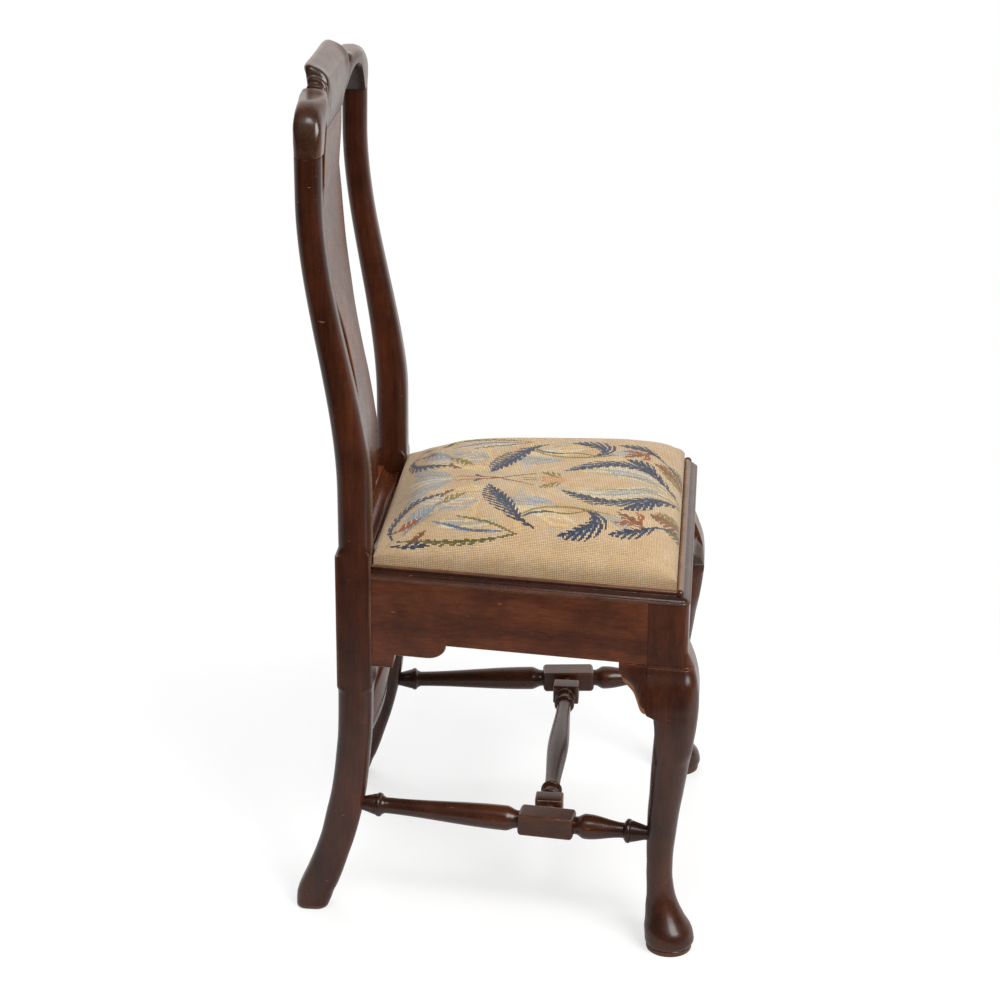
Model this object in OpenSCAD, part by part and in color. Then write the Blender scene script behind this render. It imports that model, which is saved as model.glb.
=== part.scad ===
// Side chair with a vase-shaped back splat, shaped knees, turned stretchers and a lift-out seat.
// The seated person's left is +X, the front is -Y, and the floor is z = 0.

/* [Seat frame] */
// Width across the seat frame at its front
seat_front_w = 450; // [430:2:470]
// Width across the seat frame where the side rails meet the rear posts
seat_rear_w = 364; // [356:2:376]
// Depth from the front rail's face to the fronts of the rear posts
seat_depth = 366; // [350:2:390]
// Place of the fronts of the rear posts behind the middle of the footprint
post_front_y = 144; // [138:1:150]
// Height of the rail tops above the floor
seat_h = 434; // [420:2:450]
// Depth of the rail boards from top to bottom
rail_h = 76; // [70:1:80]
// Thickness of the rail boards
rail_t = 28; // [26:1:30]

/* [Rear posts] */
// Width of the square block of a rear post
post_w = 38; // [36:1:42]
// Depth of the square block of a rear post
post_d = 41.5; // [40:0.5:44]
// Height at which the square block begins
block_bottom = 297; // [285:1:310]
// Height at which the square block ends
block_top = 461; // [455:1:470]
// Width of a post where the crest rail sits on it
post_top_w = 28; // [26:1:30]
// Depth of a post where the crest rail sits on it
post_top_d = 30.5; // [28:0.5:32]
// Height of the joint between the posts and the crest rail
joint_h = 928; // [900:4:950]
// How far the back leans behind the block
back_rake = 40; // [32:1:48]
// How far each post leans outward on its way up
post_spread = 13; // [9:1:16]
// How far the rear feet run out behind the block
heel_sweep = 54.5; // [46:0.5:60]
// How far each rear foot stands outside its block
heel_spread = 7; // [4:1:10]
// Width of a rear foot at the floor
heel_w = 34; // [32:1:38]

/* [Crest rail] */
// Rise of the middle of the crest above the post joints
crest_rise = 79; // [72:1:86]
// Rise of the shoulders of the crest above the post joints
shoulder_rise = 57; // [50:1:62]
// Rise of the arches on the underside of the crest
arch_rise = 41; // [34:1:44]
// Half the length of the raised middle
crown_half = 70; // [66:1:76]
// How far the middle of the crest stands in front of its shoulders
crest_bow = 13; // [9:1:16]

/* [Splat] */
// Width of the splat at its belly
splat_w = 124; // [112:2:132]
// Thickness of the splat
splat_t = 12; // [10:0.5:13]
// Height of the shoe's top above the rail tops
shoe_h = 15; // [13:0.5:18]

/* [Front legs] */
// Width of the square top of a front leg
stile_w = 46; // [44:1:50]
// How far the knee swells out of the rail faces
knee_out = 14.5; // [11:0.5:17]
// How far each front foot splays sideways
foot_splay = 14.4; // [8:0.2:18]
// Diameter of the round foot
foot_d = 58.8; // [54:0.2:64]
// Thickness of the leg at its ankle
ankle_d = 30.5; // [28:0.5:34]
// Reach of a knee bracket along the rail
bracket_reach = 32; // [28:1:38]
// Drop of a knee bracket below the rail
bracket_drop = 60; // [52:1:64]

/* [Stretchers] */
// Height of the side stretchers' axis
stretcher_h = 139; // [130:1:150]
// Height of the rear stretcher's axis
rear_stretcher_h = 190; // [182:1:200]
// Largest diameter of the side stretchers
stretcher_d = 29.6; // [28:0.2:32]
// Largest diameter of the medial stretcher
medial_d = 26; // [24:0.5:29]
// Largest diameter of the rear stretcher
rear_stretcher_d = 30; // [28:0.5:32]
// Diameter of the round stretcher ends
tenon_d = 17; // [16:0.2:18.4]

/* [Seat] */
// Height of the crown of the cushion above its edge
crown_h = 47; // [40:1:56]
// Width of the moulding on the rail tops
mould_w = 15; // [14:0.5:17]
// Height of the moulding on the rail tops
mould_h = 14.5; // [13:0.5:16]
// Thickness of the seat's loose frame
slip_t = 13; // [11:0.5:14]
// Width of the members of the loose frame
slip_w = 48; // [42:1:54]
// Thickness of the needlework cover
cover_t = 1.2; // [1:0.1:1.6]

/* [Hidden] */

walnut = "#5a3526";
walnut_dark = "#3c2016";
beech = "#b58e62";
jute = "#a98f63";
linen = "#cdbb90";
wool = "#cdb286";

// Glue room round tenons and pins, and running room round the loose seat
joint_gap = 0.15;
rest_gap = 0.3;
// One overrun serves all cuts that leave through a face
overrun = 4;

// Seat frame
front_y = post_front_y - seat_depth;
side_slope = (seat_front_w - seat_rear_w) / 2 / seat_depth;
slant = sqrt(1 + side_slope * side_slope);
rail_bottom = seat_h - rail_h;
// Outer face of the left side rail, or a plane parallel to it that lies inset inward
function rail_x(y, inset = 0) = seat_front_w / 2 - side_slope * (y - front_y) - inset * slant;
tenon_t = 9;
tenon_reach = 21;
tenon_setback = 9;
tenon_shoulder = 8;
// Bracket cut in one piece with the rear end of the side rail
rail_ear_drop = 34;
rail_ear_flat = 24;
rail_ear_slant = 3;
rail_ear_step = 16.5;
rail_ear_run = 36;
rail_ear_curve = 20;

// Posts
post_reveal = 2;
post_x = seat_rear_w / 2 + post_reveal - post_w / 2;
block_back_y = post_front_y + post_d;
stile_step = 3;
post_corner = 12;
block_corner = 1.5;
stop_run = 9;
post_tenon_w = 15;
post_tenon_d = 12;
post_tenon_h = 22;

// Smooth step, plain mix, and a smooth curve through a table of [share, share] rows
function clamp(t) = min(1, max(0, t));
function ease(t) = let (c = clamp(t)) c * c * (3 - 2 * c);
function mix(a, b, t) = a + (b - a) * t;
function row(t, table, i = 0) =
    i >= len(table) - 2 || t <= table[i + 1][0] ? i : row(t, table, i + 1);
function rise(table, i) = (table[i + 1][1] - table[i][1]) / (table[i + 1][0] - table[i][0]);
function bend(table, i) = i == 0 ? rise(table, 0) : i == len(table) - 1 ? rise(table, i - 1) :
    let (a = rise(table, i - 1), b = rise(table, i)) a * b <= 0 ? 0 : 2 * a * b / (a + b);
function curve(t, table) = let (i = row(t, table), a = table[i], b = table[i + 1],
    h = b[0] - a[0], u = clamp((t - a[0]) / h))
    a[1] * (1 + 2 * u) * (1 - u) * (1 - u) + b[1] * u * u * (3 - 2 * u)
    + h * u * (1 - u) * (bend(table, i) * (1 - u) - bend(table, i + 1) * u);

// A ring of points round a rectangle whose four corners have radii of their own, from the
// corner at high x and high y onward, seen anticlockwise from above
corner_steps = 4;
function corner(cx, cy, r, turn) = [for (i = [0:corner_steps])
    [cx + r * cos(turn + 90 * i / corner_steps), cy + r * sin(turn + 90 * i / corner_steps)]];
function ring(x0, x1, y0, y1, r) = let (m = min(x1 - x0, y1 - y0) / 2 * 0.999,
    a = min(r[0], m), b = min(r[1], m), c = min(r[2], m), d = min(r[3], m))
    concat(corner(x1 - a, y1 - a, a, 0), corner(x0 + b, y1 - b, b, 90),
        corner(x0 + c, y0 + c, c, 180), corner(x1 - d, y0 + d, d, 270));
function lift(points, z) = [for (p = points) [p[0], p[1], z]];

// A solid through a stack of rings with the same number of points, each end closed from its middle
function middle(points) = [for (a = [0:2]) [for (p = points) p[a]] * [for (p = points) 1] / len(points)];
module loft(rings) {
    n = len(rings[0]);
    last = len(rings) - 1;
    polyhedron(concat([for (r = rings) each r], [middle(rings[0]), middle(rings[last])]), concat(
        [for (k = [0:last - 1], i = [0:n - 1]) let (j = (i + 1) % n)
            each [[k * n + i, (k + 1) * n + i, (k + 1) * n + j], [k * n + i, (k + 1) * n + j, k * n + j]]],
        [for (i = [0:n - 1]) [i, (i + 1) % n, (last + 1) * n]],
        [for (i = [0:n - 1]) [last * n + (i + 1) % n, last * n + i, (last + 1) * n + 1]]), convexity = 6);
}
module both(side) {
    if (side > 0) children();
    else mirror([1, 0, 0]) children();
}

// Rear post: outlines of the lower leg as shares of the block's height and of the sweep
heel_line_shares = [[0, 1], [0.018, 1], [0.064, 0.987], [0.111, 0.9], [0.158, 0.783], [0.249, 0.583],
    [0.343, 0.416], [0.434, 0.303], [0.522, 0.193], [0.609, 0.119], [0.694, 0.068], [0.795, 0.02],
    [0.92, 0.003], [1, 0]];
heel_depth_shares = [[0, 0.89], [0.018, 0.945], [0.064, 1.05], [0.111, 1.087], [0.158, 1.058],
    [0.249, 1.01], [0.343, 1], [0.434, 1.01], [0.522, 0.985], [0.609, 0.964], [0.694, 0.957],
    [0.795, 0.955], [0.92, 0.957], [1, 0.985]];
rake_start_share = 0.16;
rake_end_share = 0.9;
stile_depth_shares = [[0, 0], [0.2, 0], [0.32, 0.26], [0.42, 0.53], [0.55, 0.82], [0.7, 1.05],
    [0.85, 1.1], [1, 1]];
function up_share(z) = (z - block_top) / (joint_h - block_top);
function post_back(z) = z >= block_top
    ? block_back_y - stile_step + back_rake
        * ease((up_share(z) - rake_start_share) / (rake_end_share - rake_start_share))
    : z >= block_bottom ? block_back_y
    : block_back_y + heel_sweep * curve(z / block_bottom, heel_line_shares);
function post_depth(z) = z >= block_top
    ? mix(post_d - stile_step, post_top_d, curve(up_share(z), stile_depth_shares))
    : z >= block_bottom ? post_d
    : post_d * curve(z / block_bottom, heel_depth_shares);
function post_mid(z) = z >= block_top ? post_x + post_spread * clamp(up_share(z))
    : z >= block_bottom ? post_x : post_x + heel_spread * (1 - z / block_bottom);
function post_width(z) = z >= block_top ? mix(post_w, post_top_w, clamp(up_share(z)))
    : z >= block_bottom ? post_w : mix(heel_w, post_w, clamp(z / block_bottom));
function post_round(z) = mix(block_corner, post_corner,
    max(ease((z - block_top) / stop_run), ease((block_bottom - z) / stop_run)));
function post_ring(z, r) = lift(ring(post_mid(z) - post_width(z) / 2, post_mid(z) + post_width(z) / 2,
    post_back(z) - post_depth(z), post_back(z), [r, r, r, r]), z);
foot_shares = [0, 0.02, 0.06, 0.11, 0.18, 0.26, 0.35, 0.45, 0.56, 0.68, 0.8, 0.92];
stop_shares = [0, 0.12, 0.4, 0.75, 1.1];
stile_shares = [0.05, 0.12, 0.19, 0.26, 0.33, 0.4, 0.48, 0.56, 0.64, 0.72, 0.8, 0.88, 0.94, 1];
post_levels = concat([for (s = foot_shares) s * block_bottom],
    [for (i = [len(stop_shares) - 1:-1:0]) block_bottom - stop_shares[i] * stop_run],
    [block_top - joint_gap], [for (s = stop_shares) block_top + s * stop_run],
    [for (s = stile_shares) block_top + s * (joint_h - block_top)]);
rail_tenon_h = rail_h - tenon_shoulder * 2;

// Tenon of a side rail: a slanted plan, grown on all sides for its mortise
module side_tenon(y0, y1, grow) {
    a = tenon_setback - grow;
    b = tenon_setback + tenon_t + grow;
    translate([0, 0, rail_bottom + tenon_shoulder - grow])
        linear_extrude(rail_tenon_h + grow * 2)
            polygon([[rail_x(y0, a), y0], [rail_x(y1, a), y1], [rail_x(y1, b), y1], [rail_x(y0, b), y0]]);
}
rear_tenon_reach = 24;
rear_set = 8;
rear_rail_y = post_front_y + rear_set;
rear_rail_t = 30;
rear_rail_reach = 12;
module rear_rail_tenon(side, grow) {
    both(side) translate([post_x - post_w / 2 - overrun, rear_rail_y + rear_rail_t / 2 - tenon_t / 2 - grow,
        rail_bottom + tenon_shoulder - grow])
        cube([overrun + rear_rail_reach + grow, tenon_t + grow * 2, rail_tenon_h + grow * 2]);
}

module rear_post() {
    difference() {
        union() {
            loft([for (z = post_levels) post_ring(z, post_round(z))]);
            translate([post_mid(joint_h) - post_tenon_w / 2,
                post_back(joint_h) - post_top_d / 2 - post_tenon_d / 2, joint_h - overrun])
                cube([post_tenon_w, post_tenon_d, post_tenon_h + overrun]);
        }
        side_tenon(post_front_y + rear_tenon_reach + joint_gap, post_front_y - overrun, joint_gap);
        rear_rail_tenon(1, joint_gap);
        stretcher_place(1) translate([0, 0, -stretcher_seat - joint_gap]) cylinder(
            d = tenon_d + joint_gap * 2, h = stretcher_seat + joint_gap + post_d, $fn = 48);
        translate([0, rear_stretcher_y, rear_stretcher_h]) rotate([0, 90, 0])
            cylinder(d = tenon_d + joint_gap * 2, h = rear_stretcher_half + joint_gap, $fn = 48);
    }
}
module rear_post_right() { color(walnut_dark) both(-1) rear_post(); }
module rear_post_left() { color(walnut_dark) both(1) rear_post(); }

// Crest rail, lofted from end to end through upright slices
crest_half = post_mid(joint_h) + post_top_w / 2;
shoulder_x = post_mid(joint_h) - post_top_w;
splat_joint_rise = 3;
splat_top_w = 113;
crest_front_y = post_back(joint_h) - post_top_d;
crest_t = 16;
lip = 10;
crown_fall_shares = [[0, 1], [0.9, 1], [1.02, 0.86], [1.12, 0.3], [1.22, -0.12], [1.32, 0.02],
    [1.42, 0.09], [1.6, 0.02], [2, 0]];
arch_shares = [[0, 0.07], [0.02, 0.09], [0.15, 0.4], [0.3, 0.67], [0.45, 0.92], [0.58, 1], [0.72, 0.92],
    [0.86, 0.56], [0.96, 0.14], [1, 0]];
// Front, top, rolled lip and back of a slice: [share of height, front share, back share]
arch_from = splat_top_w / 2;
arch_to = post_mid(joint_h) - post_top_w / 2;
function shoulder_fall(x) = let (t = clamp((x - shoulder_x) / (crest_half - shoulder_x)))
    pow(1 - pow(t, 2.4), 1 / 2.4);
function crest_top(x) = joint_h + shoulder_rise * shoulder_fall(x)
    + (crest_rise - shoulder_rise) * curve(x / crown_half, crown_fall_shares);
function crest_bottom(x) = x <= arch_from ? joint_h + splat_joint_rise
    : x >= arch_to ? joint_h
    : joint_h + arch_rise * curve((x - arch_from) / (arch_to - arch_from), arch_shares);
// The ends are rounded in plan like the tops of the posts
function ear_inset(x) = post_corner * (1 - sqrt(1 - pow(clamp((x - crest_half + post_corner)
    / post_corner), 2)));
function crest_front(x) = crest_front_y + ear_inset(x)
    + crest_bow * (1 - ease((x / crown_half - 0.7) / 1.4));
function crest_back(x) = mix(crest_front(0) + crest_t - 2 * joint_gap, post_back(joint_h),
    ease(x / arch_to)) - ear_inset(x);
function crown(x) = 1 - ease((x / crown_half - 0.95) / 0.3);
crown_slice_shares = [[0, 0, 0], [0.2, -0.25, 0], [0.4, -0.45, 0], [0.58, -0.55, 0], [0.76, -0.4, 0],
    [0.86, 0, 0], [0.93, 0.5, 0], [0.98, 1.05, 0], [1, 1.6, 0], [1, 0.5, 1], [0.97, 0.9, 1],
    [0.93, 1, 1], [0.87, 0.85, 1], [0.76, 0.5, 1], [0.55, 0.28, 1], [0.35, 0.15, 1], [0.15, 0.03, 1],
    [0, 0, 1]];
ear_slice_shares = [[0, 0, 0], [0.2, -0.05, 0], [0.4, -0.1, 0], [0.6, -0.1, 0], [0.76, -0.02, 0],
    [0.86, 0.15, 0], [0.94, 0.45, 0], [0.98, 0.8, 0], [1, 1.25, 0], [1, -1.2, 1], [0.985, -0.75, 1],
    [0.95, -0.42, 1], [0.88, -0.15, 1], [0.76, 0, 1], [0.55, 0.03, 1], [0.35, 0.03, 1], [0.15, 0, 1],
    [0, 0, 1]];
function crest_slice(x) = let (a = abs(x), k = crown(a), z0 = crest_bottom(a),
    z1 = max(crest_top(a), z0 + block_corner), yf = crest_front(a), yb = crest_back(a))
    [for (i = [len(crown_slice_shares) - 1:-1:0])
        let (c = crown_slice_shares[i], e = ear_slice_shares[i], u = mix(e[0], c[0], k),
            v = mix(e[1], c[1], k), roll = min(lip, (yb - yf) * 0.38))
        [x, (c[2] == 0 ? yf : yb) + roll * v, mix(z0, z1, u)]];
crest_shares = [0, 0.1, 0.19, 0.27, 0.3, 0.33, 0.355, 0.385, 0.41, 0.435, 0.46, 0.49, 0.53, 0.58, 0.64, 0.7,
    0.76, 0.81, 0.85, 0.885, 0.92, 0.945, 0.96, 0.975, 0.985, 0.993];
crest_stations = concat([for (i = [len(crest_shares) - 1:-1:1]) -crest_shares[i]],
    [for (s = crest_shares) s]);
splat_tenon_w = 88;
splat_tenon_t = 7;
splat_tenon_h = 14;
module crest_rail() {
    color(walnut) difference() {
        loft([for (s = crest_stations) crest_slice(s * crest_half)]);
        for (side = [1, -1]) both(side)
            translate([post_mid(joint_h) - post_tenon_w / 2 - joint_gap,
                post_back(joint_h) - post_top_d / 2 - post_tenon_d / 2 - joint_gap, joint_h - overrun])
                cube([post_tenon_w + joint_gap * 2, post_tenon_d + joint_gap * 2,
                    post_tenon_h + overrun + joint_gap]);
        splat_tenon_top(joint_gap);
    }
}

// Splat: a board curved like the posts, sawn to the vase outline
splat_top = joint_h + splat_joint_rise;
splat_base = seat_h + shoe_h;
vase_shares = [[0, 0.8], [0.19, 0.8], [0.24, 0.76], [0.32, 0.6], [0.4, 0.495], [0.46, 0.465], [0.52, 0.485],
    [0.6, 0.62], [0.67, 0.84], [0.73, 0.97], [0.77, 1], [0.81, 0.97], [0.85, 0.86], [0.868, 0.785],
    [0.885, 0.8], [0.93, 0.875], [1, 0.915]];
vase_step_shares = [0, 0.1, 0.19, 0.215, 0.24, 0.27, 0.3, 0.33, 0.36, 0.39, 0.42, 0.45, 0.48, 0.51, 0.54,
    0.57, 0.6, 0.63, 0.66, 0.69, 0.72, 0.745, 0.77, 0.79, 0.81, 0.83, 0.85, 0.868, 0.885, 0.91, 0.94, 0.97, 1];
splat_set_top = 5.5;
splat_set = 0.5;
function splat_front(z) = post_back(z) - splat_t - mix(splat_set, splat_set_top, ease(up_share(z)));
function splat_back(z) = splat_front(z) + splat_t;
band_levels = [for (i = [0:24]) mix(splat_base, splat_top, i / 24)];
module splat_tenon_top(grow) {
    translate([-splat_tenon_w / 2 - grow, splat_front(splat_top) + (splat_t - splat_tenon_t) / 2 - grow,
        splat_top - overrun])
        cube([splat_tenon_w + grow * 2, splat_tenon_t + grow * 2, splat_tenon_h + overrun + grow]);
}
module splat_tenon_base(grow) {
    translate([-splat_tenon_w / 2 - grow, splat_front(splat_base) + (splat_t - splat_tenon_t) / 2 - grow,
        splat_base - splat_tenon_h + overrun - grow])
        cube([splat_tenon_w + grow * 2, splat_tenon_t + grow * 2, splat_tenon_h + grow]);
}
module splat() {
    color(walnut) union() {
        intersection() {
            translate([0, seat_depth, 0]) rotate([90, 0, 0]) linear_extrude(seat_depth)
                polygon(concat(
                    [for (s = vase_step_shares)
                        [curve(s, vase_shares) * splat_w / 2, mix(splat_base, splat_top, s)]],
                    [for (i = [len(vase_step_shares) - 1:-1:0]) let (s = vase_step_shares[i])
                        [-curve(s, vase_shares) * splat_w / 2, mix(splat_base, splat_top, s)]]));
            translate([-splat_w, 0, 0]) rotate([90, 0, 90]) linear_extrude(splat_w * 2)
                polygon(concat([for (z = band_levels) [splat_front(z), z]],
                    [for (i = [len(band_levels) - 1:-1:0]) [splat_back(band_levels[i]), band_levels[i]]]));
        }
        splat_tenon_top(0);
        splat_tenon_base(0);
    }
}

// Shoe under the splat, a moulding with a bead at its toe and a cove up to the top arris
shoe_toe_y = post_front_y + rear_set;
shoe_reveal = 0.5;
shoe_arris_y = splat_front(splat_base) - shoe_reveal;
shoe_back_y = block_back_y - stile_step;
shoe_bead = 3.2;
shoe_length = (post_x - post_w / 2 - joint_gap) * 2;
module splat_shoe() {
    cove_d = shoe_arris_y - shoe_toe_y - shoe_bead * 2;
    cove_h = shoe_h - shoe_bead;
    color(walnut) difference() {
        translate([-shoe_length / 2, 0, seat_h]) rotate([90, 0, 90]) linear_extrude(shoe_length)
            polygon(concat([[shoe_toe_y, 0]],
                [for (i = [0:8]) [shoe_toe_y + shoe_bead - shoe_bead * cos(i * 180 / 8),
                    shoe_bead + shoe_bead * sin(i * 180 / 8)]],
                [for (i = [0:8]) [shoe_toe_y + shoe_bead * 2 + cove_d * sin(i * 90 / 8),
                    shoe_bead + cove_h * (1 - cos(i * 90 / 8))]],
                [[shoe_back_y, shoe_h], [shoe_back_y, 0]]));
        splat_tenon_base(joint_gap);
    }
}

module rear_rail() {
    half = post_x - post_w / 2 - joint_gap;
    color(walnut) union() {
        translate([-half, rear_rail_y, rail_bottom]) cube([half * 2, rear_rail_t, rail_h]);
        for (side = [1, -1]) both(side) translate([half - overrun,
            rear_rail_y + rear_rail_t / 2 - tenon_t / 2, rail_bottom + tenon_shoulder])
            cube([overrun + rear_rail_reach, tenon_t, rail_tenon_h]);
    }
}

// Side rail: a slanted plan cut to the side view with the bracket at the rear
stile_back_y = front_y + stile_w;
module side_rail() {
    y0 = stile_back_y + joint_gap;
    y1 = post_front_y - joint_gap;
    ear_low = rail_bottom - rail_ear_drop;
    ear_high = ear_low + rail_ear_step;
    yc = y1 - rail_ear_flat - rail_ear_slant - rail_ear_run;
    union() {
        intersection() {
            translate([0, 0, ear_low]) linear_extrude(rail_h + rail_ear_drop)
                polygon([[rail_x(y0), y0], [rail_x(y1), y1],
                    [rail_x(y1, rail_t), y1], [rail_x(y0, rail_t), y0]]);
            rotate([90, 0, 90]) linear_extrude(seat_front_w)
                polygon(concat([[y0, seat_h], [y0, rail_bottom], [yc - rail_ear_curve, rail_bottom]],
                    [for (i = [0:10]) [yc - rail_ear_curve + rail_ear_curve * sin(i * 90 / 10),
                        rail_bottom - (rail_bottom - ear_high) * (1 - cos(i * 90 / 10))]],
                    [[y1 - rail_ear_flat - rail_ear_slant, ear_high], [y1 - rail_ear_flat, ear_low],
                        [y1, ear_low], [y1, seat_h]]));
        }
        side_tenon(post_front_y + rear_tenon_reach, y1 - overrun, 0);
        side_tenon(stile_back_y - tenon_reach, y0 + overrun, 0);
    }
}
module side_rail_right() { color(walnut) both(-1) side_rail(); }
module side_rail_left() { color(walnut) both(1) side_rail(); }

stile_inner_x = seat_front_w / 2 - stile_w;
front_rail_t = 26;
module front_tenon(side, grow) {
    both(side) translate([stile_inner_x - overrun, front_y + tenon_setback - grow,
        rail_bottom + tenon_shoulder - grow])
        cube([tenon_reach + overrun + grow, tenon_t + grow * 2, rail_tenon_h + grow * 2]);
}
module front_rail() {
    half = stile_inner_x - joint_gap;
    color(walnut) union() {
        translate([-half, front_y, rail_bottom]) cube([half * 2, front_rail_t, rail_h]);
        front_tenon(1, 0);
        front_tenon(-1, 0);
    }
}

// Front leg: a square top that swells into the knee and tapers to a round ankle and pad foot.
// Heights are shares of the height of the rail tops.
knee_line_shares = [[0, 1.05], [0.0134, 1.07], [0.0152, 1.02], [0.025, 1.24], [0.055, 1.06],
    [0.085, 0.46], [0.115, -0.05], [0.145, -0.39], [0.177, -0.58], [0.21, -0.68], [0.24, -0.68],
    [0.267, -0.655], [0.327, -0.48], [0.387, -0.283],
    [0.447, -0.014], [0.477, 0.117], [0.537, 0.372], [0.597, 0.634], [0.657, 0.88], [0.687, 0.959],
    [0.717, 1], [0.744, 0.979], [0.783, 0.85], [0.806, 0.69], [0.825, 0.517], [0.846, 0.276], [0.871, 0],
    [1, 0]];
leg_depth_shares = [[0, 0.81], [0.0134, 0.83], [0.0152, 0.79], [0.025, 0.97], [0.055, 0.91],
    [0.085, 0.58], [0.115, 0.32], [0.145, 0.115], [0.177, 0.03], [0.21, 0], [0.24, 0],
    [0.267, 0.03], [0.327, 0.124], [0.387, 0.22], [0.447, 0.304],
    [0.507, 0.408], [0.567, 0.49], [0.627, 0.567], [0.657, 0.64], [0.687, 0.72], [1, 0.72]];
pad_spread = foot_d - ankle_d;
function knee_line(z) = knee_out * curve(z / seat_h, knee_line_shares);
// On the sides the knee starts under the rail with a small ledge and swells out from there
knee_ledge = 1.8;
knee_swell = 20;
function side_knee(z) = knee_line(z) * (ease((rail_bottom - z) / knee_ledge)
    + ease((rail_bottom - z) / knee_swell)) / 2;
function leg_depth(z) = ankle_d + pad_spread * curve(z / seat_h, leg_depth_shares);
bracket_tip = rail_bottom - bracket_drop;
// The stile runs down behind the knee as far as the tips of the brackets
notch_run = 9;
stile_foot = bracket_tip - notch_run;
function stile_share(z) = ease((z - stile_foot) / notch_run);
splay_from = bracket_tip;
function leg_splay(z) = foot_splay * clamp((splay_from - z) / (splay_from - stretcher_h + ankle_d));
function leg_y0(z) = front_y - knee_line(z);
function leg_y1(z) = mix(min(leg_y0(z) + leg_depth(z), stile_back_y), stile_back_y, stile_share(z));
function leg_x1(z) = seat_front_w / 2 + side_knee(z) + leg_splay(z);
function leg_x0(z) = mix(leg_x1(z) - leg_depth(z), stile_inner_x, stile_share(z));
knee_round = 18;
knee_side_round = 9;
stile_round = 8;
function round_share(z) = ease((bracket_tip - z) / (bracket_tip - stretcher_h));
function outer_round(z) = max(mix(stile_round, knee_round, ease(knee_line(z) / knee_out)
    * ease((z - stretcher_h) / ankle_d)), round_share(z) * foot_d);
function side_round(z) = max(mix(block_corner, knee_side_round, 1 - stile_share(z)),
    round_share(z) * foot_d);
leg_shares = [0, 0.0134, 0.0152, 0.025, 0.04, 0.055, 0.07, 0.085, 0.1, 0.12, 0.145, 0.177, 0.21, 0.25,
    0.3, 0.36, 0.42, 0.48, 0.54, 0.59, 0.63];
notch_shares = [0, 0.25, 0.5, 0.75, 1];
knee_shares = [0.16, 0.33, 0.5, 0.64, 0.76, 0.88, 1];
ledge_shares = [0.5, 1];
stile_level_shares = [0.09, 0.18, 0.265, 1];
leg_levels = concat([for (s = leg_shares) if (s * seat_h < stile_foot - block_corner) s * seat_h],
    [for (s = notch_shares) stile_foot + s * notch_run],
    [for (s = knee_shares) mix(bracket_tip, rail_bottom - knee_ledge, s)],
    [for (s = ledge_shares) mix(rail_bottom - knee_ledge, rail_bottom, s)],
    [for (s = stile_level_shares) mix(rail_bottom, seat_h, s)]);
// The slant of the side rail fades out of the side face on the way down to the shank
function slant_share(z) = ease((z - stile_foot) / (rail_bottom - stile_foot));
function leg_skew(x, y, z) = side_slope * (y - front_y) * slant_share(z)
    * clamp((x - stile_inner_x) / stile_w);
function leg_ring(z) = [for (p = ring(leg_x0(z), leg_x1(z), leg_y0(z), leg_y1(z),
    [side_round(z), side_round(z), side_round(z), outer_round(z)]))
    [p[0] - leg_skew(p[0], p[1], z), p[1], z]];
module front_leg() {
    difference() {
        loft([for (z = leg_levels) leg_ring(z)]);
        side_tenon(stile_back_y - tenon_reach - joint_gap, stile_back_y + overrun, joint_gap);
        front_tenon(1, joint_gap);
        stretcher_place(1) translate([0, 0, stretcher_length - stile_w]) cylinder(
            d = tenon_d + joint_gap * 2, h = stile_w + front_seat + joint_gap, $fn = 48);
    }
}
module front_leg_right() { color(walnut) both(-1) front_leg(); }
module front_leg_left() { color(walnut) both(1) front_leg(); }

// Knee bracket: fills the corner between the knee and the rail. Its own directions are run,
// away from the leg, and out, from the rail's face.
bracket_t = 26;
bracket_line_shares = [[0, 1], [0.1, 0.98], [0.19, 0.93], [0.31, 0.76], [0.45, 0.59], [0.62, 0.51],
    [0.79, 0.44], [0.9, 0.31], [1, 0.17]];
bracket_run_shares = [0, 0.09, 0.18, 0.25, 0.32, 0.42, 0.54, 0.68, 0.79, 0.86, 0.93, 1];
bracket_fall_shares = [0, 0.03, 0.1, 0.25, 0.45, 0.65, 0.85, 1];
function bracket_out(z, share) = side_knee(z) * (1 - ease(share));
function bracket_ring(share) = let (low = bracket_drop * curve(share, bracket_line_shares))
    concat([for (s = bracket_fall_shares) let (z = rail_bottom - joint_gap - low * s)
        [bracket_out(z, share), z]],
        [[-bracket_t, rail_bottom - joint_gap - low], [-bracket_t, rail_bottom - joint_gap]]);
module side_bracket() {
    loft([for (s = bracket_run_shares) let (y = stile_back_y + joint_gap + s * bracket_reach)
        [for (p = bracket_ring(s)) [rail_x(y) + p[0] + (p[0] < 0 ? 0
            : side_slope * stile_w * (1 - slant_share(p[1])) * (1 - ease(s))), y, p[1]]]]);
}
module front_bracket() {
    loft([for (s = bracket_run_shares) let (x = stile_inner_x - joint_gap - s * bracket_reach)
        [for (p = bracket_ring(s)) [x, front_y - p[0], p[1]]]]);
}
module knee_bracket_side_right() { color(walnut) both(-1) side_bracket(); }
module knee_bracket_side_left() { color(walnut) both(1) side_bracket(); }
module knee_bracket_front_right() { color(walnut) both(-1) front_bracket(); }
module knee_bracket_front_left() { color(walnut) both(1) front_bracket(); }

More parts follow.
